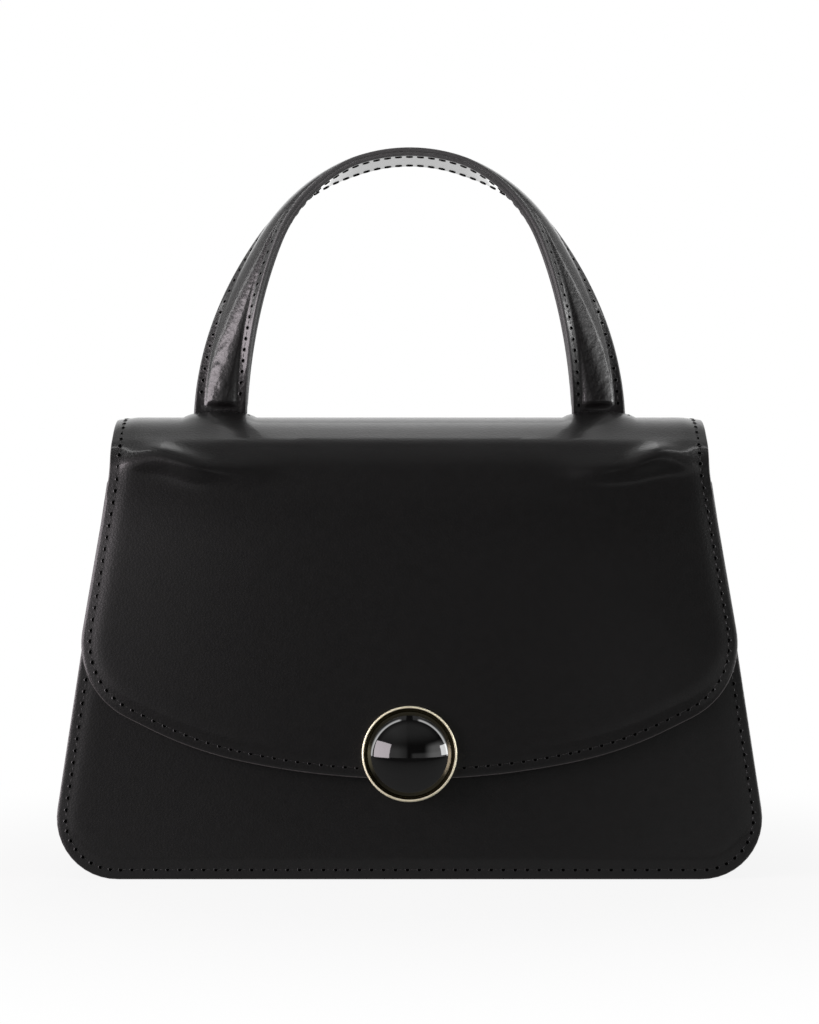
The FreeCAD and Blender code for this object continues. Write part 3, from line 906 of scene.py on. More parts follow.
def seam_places(
    stitch: Stitch, pattern: Pattern, form: Form, inset: float, start: float = 0.0,
    end: float | None = None, under: bool = False,
) -> list[Matrix]:
    """Frames of the stitches along an outline.

    Args:
        stitch: Kind of stitch.
        pattern: Piece that is sewn.
        form: Its form.
        inset: Distance of the seam from the cut edge.
        start: Distance along the cut line where the seam starts.
        end: Distance where it ends, or None for once round.
        under: Whether the seam shows on the underside.

    Returns:
        One matrix for each stitch.
    """
    outline = pattern.outline
    end = start + outline.length if end is None else end
    count = round((end - start) / stitch.pitch)
    places = []
    for i in range(count):
        at, outward = outline.at(start + (end - start) * (i + 0.5) / count, inset)
        along = Vector((-outward.y, outward.x))
        height = pattern.stitch_height(at.x, at.y, inset)
        if under:
            places.append(stitch.place(upside_down(form), at, along, pattern.thickness - height))
        else:
            places.append(stitch.place(form, at, along, height))
    return places


def make_seam(
    name: str, stitch: Stitch, places: Iterable[Matrix], leather: Finish,
    body: Body | None = None,
) -> Object:
    """Make a seam: a piece of its own that replaces no CAD node.

    Args:
        name: Name of the piece.
        stitch: Kind of stitch.
        places: Frame of each stitch.
        leather: Finish of the leather that it pushes up.
        body: Body that it rides on, or None to leave it unattached.

    Returns:
        The new object.
    """
    return make_piece(name, stitch.sew(places), (THREAD, NEEDLE_HOLE_SHADE, leather), body=body)


# The bag's form

@dataclass
class BagForm:
    """Shape that the pieces share, in millimetres and degrees; the frame gives most places."""

    base_width: float = 242.0
    side_taper: float = 8.0
    body_corner: float = 20.5
    top_corner: float = 3.5
    ground_gap: float = 0.2      # leather of both walls ends this far above the ground
    panel_lean: float = 5.5
    path_foot: float = -10.0     # the path over the crest starts below the ground
    crest_top_radius: float = 34.0
    crest_slope: float = 32.0
    crest_radius: float = 14.0   # rounding over the front and back top edges
    flap_stand_off: float = 4.0  # flap's outer face in front of the panel at its top edge
    flap_width: float = 202.2
    flap_taper: float = 8.9
    side_blend: float = 60.0
    sweep_slope: float = 12.0
    sweep_gap: float = 0.05      # straight piece between the wide lower edge and the knee's arc
    knee: float = 71.6
    knee_radius: float = 130.0
    shoulder_slope: float = 26.0
    flap_corner: float = 28.0
    clasp_above_tip: float = 8.2
    sag_from: float = 20.0       # the sides fall in from this height and fully from the next
    sag_full: float = 75.0

    def __post_init__(self) -> None:
        """Read the frame and work out the path over the crest."""
        front, back, flap = node_box("front_panel"), node_box("back_panel"), node_box("flap_outer")
        self.front_foot, self.back_foot = front[0].y, back[1].y
        self.front_height, self.flap_tip = front[1].z, flap[0].z
        self.hinge, self.slit = joint_place("flap_hinge"), joint_place("handle_tilt")
        self.lean = math.radians(self.panel_lean)
        top_y = self.front_y(self.front_height, -self.flap_stand_off)
        self.flap_lean = math.atan((top_y - flap[0].y) / (self.front_height - self.flap_tip))
        self.flap_foot = flap[0].y
        self.side_view = self._side_view(flap[1].z)
        self.hinge_at = self.side_view.start_of_run(4)
        self.slit_s = self.side_view.middle_of(3) - self.hinge_at
        self.front_start = self.side_view.start_of_run(9) - self.hinge_at
        self.break_z = self.over_crest(0, self.front_start, 0).z / MM

    def _side_view(self, crest_top: float) -> Outline:
        """Outline of back, domed top and flap seen from the side, from below the ground up the back.

        Args:
            crest_top: Height of the crest.

        Returns:
            The outline in Y and Z.
        """
        slope, below = math.radians(self.crest_slope), self.path_foot
        apex = crest_top + self.crest_top_radius * (1 / math.cos(slope) - 1)
        fall = 1 / math.tan(slope)
        front = apex - (self.slit.y - self.flap_y(apex)) / (fall - math.tan(self.flap_lean))
        back = apex - (self.back_y(apex) - self.slit.y) / (fall - math.tan(self.lean))
        return Outline([
            Corner(self.flap_y(below), below, SHARP),
            Corner(self.back_y(below), below, SHARP),
            Corner(self.back_y(back), back, self.crest_radius),
            Corner(self.slit.y, apex, self.crest_top_radius),
            Corner(self.flap_y(front), front, self.crest_radius),
        ])

    def front_y(self, z: float, depth: float = 0.0) -> float:
        """Y of the plane that lies depth inside the front panel's outer face."""
        return self.front_foot + z * math.tan(self.lean) + depth / math.cos(self.lean)

    def back_y(self, z: float, depth: float = 0.0) -> float:
        """Y of the plane that lies depth inside the back panel's outer face."""
        return self.back_foot - z * math.tan(self.lean) - depth / math.cos(self.lean)

    def flap_y(self, z: float) -> float:
        """Y of the flap's outer face on its flat front."""
        return self.flap_foot + (z - self.flap_tip) * math.tan(self.flap_lean)

    def on_front(self, u: float, v: float, n: float) -> Vector:
        """Form of the front panel: v runs up its face from the ground, n out of it."""
        sine, cosine = math.sin(self.lean), math.cos(self.lean)
        return Vector((u, self.front_foot + v * sine - n * cosine, v * cosine + n * sine)) * MM

    def on_back(self, u: float, v: float, n: float) -> Vector:
        """Form of the back wall: v runs up its face from the ground, n out of it."""
        sine, cosine = math.sin(self.lean), math.cos(self.lean)
        return Vector((u, self.back_foot - v * sine + n * cosine, v * cosine + n * sine)) * MM

    def over_crest(self, u: float, s: float, n: float) -> Vector:
        """Form of back and flap in one: s runs from the hinge over the top and down the front."""
        place, outward = self.side_view.at(self.hinge_at + s)
        return Vector((u, *(place + outward * n))) * MM

    def front_s(self, z: float) -> float:
        """Distance over the crest at which the flap's front comes down to z."""
        return self.front_start + (self.break_z - z) / math.cos(self.flap_lean)

    def body_corners(self, low: float, top: float, top_corner: float, inset: float = 0.0) -> list[Corner]:
        """Corners of the body's outline, measured up the leaning face.

        Args:
            low: Height of the lower edge.
            top: Height of the upper edge.
            top_corner: Radius of the upper corners.
            inset: How far inside the body's sides and base the outline lies.

        Returns:
            The four corners, from the lower left one.
        """
        narrow = math.tan(math.radians(self.side_taper))
        scale = 1 / math.cos(self.lean)
        reach = inset / math.cos(math.radians(self.side_taper))
        bottom = self.base_width / 2 - low * narrow - reach
        upper = self.base_width / 2 - top * narrow - reach
        corner = self.body_corner - inset
        return [
            Corner(-bottom, (low + inset) * scale, corner),
            Corner(bottom, (low + inset) * scale, corner),
            Corner(upper, top * scale, top_corner),
            Corner(-upper, top * scale, top_corner),
        ]

    def flap_side(self) -> list[Corner]:
        """Corners of the flap's right side on its pattern.

        Returns:
            The corners from the top edge down to the tip.
        """
        slope, shoulder = math.radians(self.sweep_slope), math.radians(self.shoulder_slope)
        taper = math.tan(math.radians(self.flap_taper))
        lowest = self.flap_tip - self.sweep_radius() * (1 / math.cos(slope) - 1)
        knee_z = lowest + self.knee * math.tan(slope)
        half = self.flap_width / 2
        reach = half + (self.front_height - knee_z) * taper - self.knee
        run = reach / (1 + math.tan(shoulder) * taper)
        return [
            Corner(half, self.front_s(self.front_height), self.side_blend),
            Corner(self.knee + run, self.front_s(knee_z + run * math.tan(shoulder)), self.flap_corner),
            Corner(self.knee, self.front_s(knee_z), self.knee_radius),
            Corner(0.0, self.front_s(lowest), self.sweep_radius()),
        ]

    def sweep_radius(self) -> float:
        """Radius of the flap's wide lower edge.

        Returns:
            The radius with which its arc stops just short of the knee's arc.
        """
        slope = math.radians(self.sweep_slope)
        knee_turn = math.radians(self.shoulder_slope - self.sweep_slope)
        run = self.knee / math.cos(slope) - self.knee_radius * math.tan(knee_turn / 2) - self.sweep_gap
        return run / math.tan(slope)

    def flap_corners(self, first: Sequence[Corner]) -> list[Corner]:
        """Whole outline that ends in the flap.

        Args:
            first: Corners along the bottom of the pattern to its right side.

        Returns:
            Those corners and both sides of the flap.
        """
        side = self.flap_side()
        left = [Corner(-c.u, c.v, c.radius) for c in reversed(side[:-1])]
        return list(first) + side + left


# Leather of the back and the flap

@dataclass
class BackAndFlap:
    """Back panel and flap, cut in one and folded over the top, with its facing."""

    form: BagForm
    leather: float = 1.6
    cell: tuple[float, float] = (3.0, 2.0)
    seam_inset: float = 3.2
    facing: float = 0.8
    facing_top: float = 1.2      # facing starts this far beyond the hinge line
    facing_corner: float = 0.6
    facing_round: float = 0.15
    slit_length: float = 20.6
    slit_half: float = 1.6
    slit_spacing: float = 131.6
    slit_fine: tuple[float, float] = (9.0, 8.0)    # margins round a slit with finer faces,
    slit_cut: tuple[float, float] = (4.0, 4.0)     # and with faces that are cut along its sides
    lip_height: float = 2.5      # leather lifted by the strap end that is sewn under it
    lip_reach: float = 14.0
    lip_half: float = 12.6
    lip_shoulder: float = 0.8    # exponent that makes the lifted part broad
    lip_behind: tuple[float, float] = (0.2, 0.35)  # shares of its reach and height behind the slit
    lip_ease: float = 0.4
    lip_seam: float = 2.2        # its stitches in front of the slit
    fold_height: float = 3.0     # soft fold near both ends, where the flap breaks over the front
    fold_half: float = 4.4
    fold_rise: tuple[float, float] = (40.0, 80.0)  # it rises between these distances from the middle
    fold_fall: tuple[float, float] = (82.0, 101.0)  # and falls between these
    fold_arch: float = 4.5       # its ridge arches this far above the line where the flat front starts
    fold_peak: float = 87.0
    fold_spread: float = 12.0
    fold_below: float = 0.5      # its ends lie this far below that line
    fold_mean: float = 0.95      # unevenness: mean, change, and length of a change
    fold_change: float = 0.2
    fold_change_mm: float = 13.0
    fold_noise_row: float = 4.0  # row of the noise that it follows
    fold_fine: tuple[float, float, float] = (70.0, 32.0, 12.0)  # finer faces: middle, and half sizes
    full_from: float = -10.0     # the front swells from above the line where it becomes flat
    full_lead: float = 2.5
    full_above: float = 0.14     # slopes by which it swells above and below its fullest line
    full_below: float = 0.035
    full_round: float = 1.6
    full_ease: float = 0.5
    leather_bend: tuple[Vector, Vector] = (Vector((0, -0.6, 0.2)), Vector((0, -9.2, 2.8)))
    facing_bend: tuple[Vector, Vector] = (Vector((0, -3.4, 0)), Vector((0, -11.2, 2.4)))
    border: Border = (
        (14.0, 0.0), (10.0, 0.02), (7.5, 0.0), (6.2, -0.08), (5.2, -0.20), (4.4, -0.32), (3.8, -0.42),
        (3.2, -0.50), (2.2, -0.58), (1.2, -0.70), (0.0, -0.86),
    )
    facing_border: Border = (
        (14.0, -2.6), (9.0, -2.6), (5.5, -2.5), (4.0, -2.4), (3.2, -2.38), (1.6, -2.42), (0.15, -2.52),
    )

    def outline(self) -> Outline:
        """Cutting line of back and flap together.

        Returns:
            The closed line, from the lower left corner of the back.
        """
        form = self.form
        narrow = math.tan(math.radians(form.side_taper))
        foot = -form.hinge.z / math.cos(form.lean) + form.ground_gap
        bottom, half = form.base_width / 2, form.flap_width / 2
        meet = (bottom - half) / narrow / math.cos(form.lean) + foot
        first = [
            Corner(-bottom, foot, form.body_corner),
            Corner(bottom, foot, form.body_corner),
            Corner(half, meet, form.side_blend),
        ]
        return Outline(form.flap_corners(first) + [Corner(-half, meet, form.side_blend)])

    def relief(self, u: float, v: float) -> float:
        """How far the leather stands off its smooth form at a place on the pattern."""
        return self._lip(u, v) + self._fold(u, v) + self._fullness(u, v)

    def _lip(self, u: float, v: float) -> float:
        """Leather lifted over the strap ends, highest at the slits.

        Args:
            u: Place across the pattern.
            v: Place along it.

        Returns:
            The height there.
        """
        from_slit = (abs(u) - self.slit_spacing / 2) / self.lip_half
        along = max(1 - from_slit ** 2, 0.0) ** self.lip_shoulder
        ahead = v - self.form.slit_s
        reach, height = (1.0, 1.0) if ahead > 0 else self.lip_behind
        fall = 1 - (abs(ahead) - self.slit_half) / (self.lip_reach * reach)
        return self.lip_height * height * along * -soft_min(-min(fall, 1.0), 0.0, self.lip_ease)

    def _fold(self, u: float, v: float) -> float:
        """Soft fold near both ends, arched towards the crest before it runs out over the edge.

        Args:
            u: Place across the pattern.
            v: Place along it.

        Returns:
            The height there.
        """
        aside = abs(u)
        ends = smooth_step(*self.fold_rise, aside) * (1 - smooth_step(*self.fold_fall, aside))
        arch = self.fold_arch * math.exp(-((aside - self.fold_peak) / self.fold_spread) ** 2)
        at = (v - self.form.front_start - self.fold_below + arch) / self.fold_half
        change = noise.noise(Vector((u / self.fold_change_mm, 0, self.fold_noise_row)))
        uneven = self.fold_mean + self.fold_change * change
        return self.fold_height * ends * uneven * math.exp(-at * at)

    def _fullness(self, u: float, v: float) -> float:
        """Gentle swell of the flap's front, which dies out at its edges.

        Args:
            u: Place across the pattern.
            v: Place along it.

        Returns:
            The height there.
        """
        form = self.form
        down = v - form.front_start
        if down < self.full_from:
            return 0.0
        drop = form.front_s(form.flap_tip) - form.front_start
        above, below = self.full_above * (down + self.full_lead), self.full_below * (drop - down)
        roof = soft_min(above, below, self.full_round)
        half = form.flap_width / 2 + max(down, 0.0) * math.tan(math.radians(form.flap_taper))
        return -soft_min(-roof, 0.0, self.full_ease) * max(1 - (u / half) ** 4, 0.0)

    def lip_places(self) -> list[Matrix]:
        """Frames of the short row of stitches in front of each slit.

        Returns:
            One matrix for each stitch.
        """

        def lifted(u: float, v: float, n: float) -> Vector:
            """Form of the leather with its relief."""
            return self.form.over_crest(u, v, n + self.relief(u, v))

        row = self.form.slit_s + self.slit_half + self.lip_seam
        count = round(self.slit_length / LIP_SEAM.pitch)
        places = []
        for side in (-1, 1):
            for i in range(count):
                u = side * self.slit_spacing / 2 + self.slit_length * ((i + 0.5) / count - 0.5)
                places.append(LIP_SEAM.place(lifted, Vector((u, row)), Vector((1, 0)), 0.0))
        return places

    def open_slits(self, bm: BMesh) -> None:
        """Refine the flat leather where it will fold or lift, and cut the two handle slits through it.

        Args:
            bm: Flat leather.
        """
        fold_u, *fold_half = self.fold_fine
        half = Vector((self.slit_length / 2, self.slit_half, 0))
        for side in (-1, 1):
            fold = Vector((side * fold_u, self.form.front_start - self.fold_arch / 2, 0))
            self._refine(bm, self._faces_near(bm, fold, Vector((*fold_half, 0))))
            middle = Vector((side * self.slit_spacing / 2, self.form.slit_s, 0))
            self._refine(bm, self._faces_near(bm, middle, half + Vector((*self.slit_fine, 0))))
            for axis in (Vector((1, 0, 0)), Vector((0, 1, 0))):
                for end in (-1, 1):
                    faces = self._faces_near(bm, middle, half + Vector((*self.slit_cut, 0)))
                    parts = faces + list({e for f in faces for e in f.edges})
                    parts += list({v for f in faces for v in f.verts})
                    cut = middle + axis * (half.dot(axis) * end)
                    bmesh.ops.bisect_plane(bm, geom=parts, dist=1e-4, plane_co=cut, plane_no=axis)
            inside = self._faces_near(bm, middle, half)
            bmesh.ops.delete(bm, geom=inside, context="FACES")

    @staticmethod
    def _refine(bm: BMesh, faces: Sequence[BMFace]) -> None:
        """Split faces in three both ways."""
        edges = list({edge for face in faces for edge in face.edges})
        bmesh.ops.subdivide_edges(bm, edges=edges, cuts=2, use_grid_fill=True)

    @staticmethod
    def _faces_near(bm: BMesh, middle: Vector, half: Vector) -> list[BMFace]:
        """Find the faces whose centre lies in a box on the pattern.

        Args:
            bm: Flat leather.
            middle: Middle of the box.
            half: Half its size.

        Returns:
            The faces.
        """
        found = []
        for face in bm.faces:
            off = face.calc_center_median() - middle
            if abs(off.x) < half.x and abs(off.y) < half.y:
                found.append(face)
        return found

    def build(self) -> None:
        """Make the leather, its facing and their stitches."""
        shape = self.form.over_crest
        pattern = Pattern(
            self.outline(), self.border, self.leather, self.cell, relief=self.relief,
            grid_corners=(0, 1, 4, 8),
        )
        leather = make_piece(
            "back_and_flap_leather", pattern.formed(shape, self.open_slits), (BOX_CALF, EDGE_PAINT_AND_SHEEN),
            ("back_panel", "flap_outer"),
        )
        places = seam_places(SEAM, pattern, shape, self.seam_inset)
        seam = make_seam("back_and_flap_stitches", SEAM, places, BOX_CALF)
        make_seam(
            "handle_slit_stitches", LIP_SEAM, self.lip_places(), BOX_CALF, Body.FLAP
        )
        for piece in (leather, seam):
            self._bend(piece, *self.leather_bend)
        self._build_facing()

    def _bend(self, piece: Object, start: Vector, end: Vector) -> None:
        """Fix a piece's placement in its mesh; the span from start to end beyond the hinge line is worked
        out, but the piece is not bent.
        """
        hinge = Vector((0, self.form.hinge.y, self.form.hinge.z))
        start, end = (hinge + start) * MM, (hinge + end) * MM
        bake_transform(piece)

    def _build_facing(self) -> None:
        """Make the lining leather under the flap, and the stitches that show on it."""
        shape, half = self.form.over_crest, self.form.flap_width / 2
        first = [Corner(u, self.facing_top, self.facing_corner) for u in (-half, half)]
        outline = Outline(self.form.flap_corners(first))
        pattern = Pattern(
            outline, self.facing_border, self.facing, edge_round=self.facing_round,
            grid_corners=(0, 1, 3, 7),
        )
        facing = make_piece(
            "flap_facing", pattern.formed(shape), (LINING_LEATHER, EDGE_PAINT_AND_SHEEN),
            ("flap_lining",),
        )
        start, end = outline.start_of_run(3), outline.start_of_run(len(outline.runs) - 1)
        places = seam_places(UNDER_SEAM, pattern, shape, self.seam_inset, start, end, under=True)
        seam = make_seam("flap_facing_stitches", UNDER_SEAM, places, LINING_LEATHER)
        for piece in (facing, seam):
            self._bend(piece, *self.facing_bend)


# Leather of the body

@dataclass
class BodyLeather:
    """Front panel, and the gusset that joins it to the back."""

    form: BagForm
    leather: float = 1.8
    seam_inset: float = 3.2
    gusset: float = 1.3
    gusset_depth: float = 2.5    # middle of the gusset's leather inside the panel's outer face
    gusset_sag: float = 2.4
    gusset_cell: float = 4.0
    gusset_steps: int = 10
    gusset_flange: Points = (
        (0.5, 0.0), (1.7, 0.0), (2.8, 0.12), (3.7, 0.6), (4.35, 1.5), (4.65, 3.0),
    )                            # turned-out edge: inset from the body's outline, distance from the panel
    border: Border = (
        (14.0, 0.0), (10.0, 0.01), (7.5, 0.0), (6.2, -0.05), (5.2, -0.14), (4.4, -0.24), (3.8, -0.32),
        (3.2, -0.38), (2.2, -0.44), (1.2, -0.52), (0.0, -0.66),
    )

    def build(self) -> None:
        """Make the front panel with its stitches, and the gusset."""
        form = self.form
        outline = Outline(form.body_corners(form.ground_gap, form.front_height, form.top_corner))
        pattern = Pattern(outline, self.border, self.leather)
        make_piece(
            "front_panel_leather", pattern.formed(form.on_front), (BOX_CALF, EDGE_PAINT_AND_SHEEN),
            ("front_panel",), Body.BAG,
        )
        places = seam_places(SEAM, pattern, form.on_front, self.seam_inset)
        make_seam("front_panel_stitches", SEAM, places, BOX_CALF, Body.BAG)
        make_piece(
            "gusset_leather", self.gusset_mesh(), (BOX_CALF, EDGE_PAINT_AND_SHEEN), ("gusset",),
            Body.BAG,
        )

    def gusset_mesh(self) -> BMesh:
        """Strip down one side, along the base and up the other, turned out along both panels.

        Returns:
            The closed strip in metres.
        """
        top = node_box("gusset")[1].z
        flange, steps = self.gusset_flange, self.gusset_steps
        profile = [(inset, off, 0.0) for inset, off in flange]
        profile += [(*flange[-1], i / steps) for i in range(1, steps)]
        profile += [(inset, off, 1.0) for inset, off in reversed(flange)]
        return channel(
            self.form, top, profile, self.gusset_depth, self.gusset_sag, self.gusset, self.gusset_cell
        )


def channel(
    form: BagForm, top: float, profile: Sequence[tuple[float, float, float]], depth: float, sag: float,
    thickness: float, cell: float,
) -> BMesh:
    """Strip that follows the body's outline down one side, along the base and up the other.

    Args:
        form: Shape of the bag.
        top: Height of the strip's ends.
        profile: Points across it: inset from the outline, distance from the nearer panel,
            and share of the way from front to back.
        depth: Depth inside the panels' outer faces at which the distances start.
        sag: How far the side walls fall in at mid depth.
        thickness: Thickness of the strip.
        cell: Step along it.

    Returns:
        The closed strip in metres.
    """
    corners = [Corner(c.u, c.v * math.cos(form.lean), c.radius) for c in form.body_corners(0, top, SHARP)]
    outline = Outline(corners)
    start = outline.start_of_run(7)
    end = outline.length + outline.start_of_run(4)
    bm = bmesh.new()
    columns = len(profile) - 1
    bmesh.ops.create_grid(bm, x_segments=columns, y_segments=round((end - start) / cell), size=1.0)
    for vert in bm.verts:
        inset, off, share = profile[round((vert.co.x + 1) / 2 * columns)]
        distance = lerp(start, end, (vert.co.y + 1) / 2)
        at, _ = outline.at(distance)
        inset += sag * math.sin(math.pi * share) ** 2 * smooth_step(form.sag_from, form.sag_full, at.y)
        at, _ = outline.at(distance, inset)
        z = min(at.y, top)
        y = lerp(form.front_y(z, depth) + off, form.back_y(z, depth) - off, share)
        vert.co = Vector((at.x, y, z)) * MM
    bmesh.ops.recalc_face_normals(bm, faces=bm.faces[:])
    bmesh.ops.solidify(bm, geom=bm.faces[:], thickness=thickness * MM)
    bmesh.ops.recalc_face_normals(bm, faces=bm.faces[:])
    return bm


# Linings

@dataclass
class Linings:
    """Cloth linings of the walls and gusset, and the slip pocket on the back wall."""

    form: BagForm
    cloth: float = 0.6
    cell: float = 5.0
    rings: tuple[float, ...] = (9.0, 5.0, 2.0, 0.0)
    depth: float = 3.2
    inset: float = 5.95
    corner: float = 2.0
    front_drop: float = 1.6      # front lining ends this far below the panel's top edge
    back_rise: float = 0.2       # back lining ends this far above the hinge line
    top_turn: float = 1.1        # lining turned out against the panel along its top edge
    turn_zone: tuple[float, float] = (7.0, 1.0)    # between these distances from that edge
    ripple: float = 0.15         # unevenness of glued cloth, and its lengths across and up
    ripple_across: float = 17.0
    ripple_up: float = 23.0
    gusset_inset: float = 5.65
    gusset_steps: int = 12
    gusset_mean: float = 0.85    # mean width of the gusset's cloth as a share of that at the base
    pocket_width: float = 140.0
    pocket_corners: tuple[float, float] = (2.0, 1.0)
    pocket_depth: float = 4.1
    pocket_slack: float = 1.8
    pocket_flat: float = 20.0    # height from which the pocket stands open

    def build(self) -> None:
        form = self.form
        self._wall(
            "front_wall_lining", "front_lining", form.on_front, form.front_height - self.front_drop,
        )
        self._wall(
            "back_wall_lining", "back_lining", form.on_back, form.hinge.z + self.back_rise,
        )
        self._gusset()
        self._pocket()

    def _wall(self, name: str, node: str, shape: Form, top: float) -> None:
        """Make the lining of one wall.

        Args:
            name: Name of the piece.
            node: CAD node that it replaces.
            shape: Form of the wall.
            top: Height of its upper edge.
        """
        outline = Outline(self.form.body_corners(0, top, self.corner, self.inset))
        edge = top / math.cos(self.form.lean)
        start, end = self.turn_zone

        def turned_out(u: float, v: float) -> float:
            """Cloth that turns out along the top, with a faint ripple."""
            ripple = self.ripple * math.sin(u / self.ripple_across) * math.sin(v / self.ripple_up)
            return self.top_turn * smooth_step(edge - start, edge - end, v) + ripple

        self._sheet(name, node, outline, self.rings, -self.depth, turned_out, shape)

    def _gusset(self) -> None:
        """Make the lining of sides and base in one strip."""
        form = self.form
        top = node_box("gusset_lining")[1].z
        steps = self.gusset_steps
        profile = [(self.gusset_inset, 0.0, i / steps) for i in range(steps + 1)]
        bm = channel(form, top, profile, self.depth, BodyLeather.gusset_sag, self.cloth, self.cell)
        piece = make_piece(
            "gusset_wall_lining", bm, (TWILL,), ("gusset_lining",), Body.BAG
        )
        width = (form.back_y(0, self.depth) - form.front_y(0, self.depth)) * MM

    def _pocket(self) -> None:
        """Make the slip pocket, open along its slack top edge."""
        low, high = node_box("slip_pocket")
        scale = 1 / math.cos(self.form.lean)
        half, bottom, top = self.pocket_width / 2, low.z * scale, high.z * scale
        below, above = self.pocket_corners
        outline = Outline([
            Corner(-half, bottom, below), Corner(half, bottom, below),
            Corner(half, top, above), Corner(-half, top, above),
        ])

        def slack(u: float, v: float) -> float:
            """Cloth that hangs away from the wall towards the top."""
            across = max(1 - (u / half) ** 2, 0.0)
            return -self.pocket_slack * across * smooth_step(bottom + self.pocket_flat, top, v)

        self._sheet(
            "inner_slip_pocket", "slip_pocket", outline, self.rings[1:], -self.pocket_depth, slack,
            self.form.on_back,
        )

    def _sheet(
        self, name: str, node: str, outline: Outline, rings: Sequence[float], height: float, relief: Relief,
        shape: Form,
    ) -> None:
        """Make a cloth piece on the bag.

        Args:
            name: Name of the piece.
            node: CAD node that it replaces.
            outline: Its cutting line.
            rings: Insets of the rings along its edge.
            height: Height of its outer face above the wall.
            relief: How far it stands off that height.
            shape: Form of the wall.
        """
        border = [(inset, height) for inset in rings]
        pattern = Pattern(outline, border, self.cloth, (self.cell, self.cell), 0.0, relief)
        piece = make_piece(
            name, pattern.formed(shape), (TWILL, TWILL), (node,), Body.BAG
        )
        outline.area() * MM * MM


# Handle

@dataclass
class Handle:
    """Arched handle: padded strap, flat over the top and turned to face front at both ends."""

    form: BagForm
    spacing: float = 131.6
    rise: float = 93.2
    top_radius: float = 56.0
    top_turn: float = 62.0
    lean: float = 5.0
    width: float = 18.5
    corner: float = 0.6
    edge_round: float = 0.6
    leather: float = 1.6
    leather_cell: tuple[float, float] = (0.9, 0.9)
    leather_foot: float = 0.65   # leather's underside below the strap's middle plane
    fill: float = 0.9
    bend_from: float = -0.5      # span where the leather passes from flap to handle, between these heights
    bend_to: float = 9.0         # above the slits
    lining: float = 1.5
    lining_cell: tuple[float, float] = (1.7, 1.8)
    lining_rings: tuple[float, ...] = (3.1, 2.3, 1.2, 0.0)
    foam: float = 0.85
    foam_cell: tuple[float, float] = (1.7, 1.7)
    foam_rings: tuple[float, ...] = (1.0, 0.0)
    foam_gap: tuple[float, float] = (2.0, 1.2)     # foam stops short of the pad's ends and sides
    glue: float = 0.02
    crown: float = 1.5
    crown_half: float = 5.5
    crown_flat: float = 0.25     # share of the crown that is a step at its sides
    pad_gap: float = 4.0
    pad_fall: tuple[float, float] = (1.4, 0.2)     # crown falls between these distances from its end
    wrinkle: float = 0.14
    wrinkle_mm: float = 2.4
    worn_length: float = 48.0    # the legs are wrinkled this far up
    twist_start: float = 20.0
    twist_ease: float = 1.25
    twist_end_gap: float = 0.5
    end_tuck: float = 0.6
    seam_inset: float = 2.35
    seam_gap: float = 1.0        # seams end this far before the pad does
    border: Border = (
        (3.75, 0.95), (3.3, 0.86), (2.35, 0.82), (1.6, 0.84), (0.9, 0.86), (0.0, 0.80),
    )

    def __post_init__(self) -> None:
        """Work out the arc of each leg."""
        turn = math.radians(self.top_turn)
        self.leg_x = self.top_radius * math.sin(turn)
        self.leg_h = self.rise - self.top_radius * (1 - math.cos(turn))
        run = self.spacing / 2 - self.leg_x
        leg_turn = 2 * (math.atan2(self.leg_h, run) - turn)
        self.leg_radius = math.hypot(run, self.leg_h) / (2 * math.sin(leg_turn / 2))
        self.top_length = turn * self.top_radius
        self.half_length = self.top_length + leg_turn * self.leg_radius
        self.pad_end = self.half_length - self.pad_gap

    def strap(self, s: float, w: float, n: float) -> Vector:
        """Form of the strap.

        Args:
            s: Distance along it from the middle.
            w: Distance across it.
            n: Height out of it.

        Returns:
            The point in metres.
        """
        turn, length = math.radians(self.top_turn), abs(s)
        if length <= self.top_length:
            slope = length / self.top_radius
            x = self.top_radius * math.sin(slope)
            h = self.rise - self.top_radius * (1 - math.cos(slope))
        else:
            slope = turn + (length - self.top_length) / self.leg_radius
            x = self.leg_x + self.leg_radius * (math.sin(slope) - math.sin(turn))
            h = self.leg_h - self.leg_radius * (math.cos(turn) - math.cos(slope))
        x, slope = math.copysign(x, s), math.copysign(slope, s)
        twist_length = self.half_length - self.twist_end_gap - self.twist_start
        turned = min(max((length - self.twist_start) / twist_length, 0.0), 1.0)
        twist = math.pi / 2 * turned ** self.twist_ease
        outward = Vector((math.sin(slope), 0, math.cos(slope)))
        forward = Vector((0, -1, 0))
        normal = outward * math.cos(twist) + forward * math.sin(twist)
        across = forward * math.cos(twist) - outward * math.sin(twist)
        place = Vector((x, 0, h)) + across * w + normal * n
        standing = Matrix.Rotation(-math.radians(self.lean), 3, "X") @ place
        return (standing + Vector((0, self.form.slit.y, self.form.slit.z))) * MM

    def padding(self, s: float, w: float) -> float:
        """Crown that the core gives the leather, wrinkled down the legs; it ends above each slit.

        Args:
            s: Distance along the strap from the middle.
            w: Distance across it.

        Returns:
            The height of the crown there.
        """
        down, out = abs(s), min(abs(w / self.crown_half), 1.0)
        across = lerp(1 - out ** 2, 1 - out ** 8, self.crown_flat)
        slanting = Vector(((s + w) / (2 * self.wrinkle_mm), (s - w) / self.wrinkle_mm, 0))
        fold = noise.noise(slanting) + noise.noise(slanting * 2) / 2
        worn = self.wrinkle * fold * smooth_step(self.pad_end - self.worn_length, self.pad_end, down)
        start, end = self.pad_fall
        fallen = smooth_step(self.pad_end - start, self.pad_end - end, down)
        return (self.crown + worn) * across * (1 - fallen)

    def band(self, half_length: float, half: float) -> Outline:
        """Flat outline of a strap, from half its length and half its width."""
        ends = ((-half_length, -half), (half_length, -half), (half_length, half), (-half_length, half))
        return Outline([Corner(u, v, self.corner) for u, v in ends])

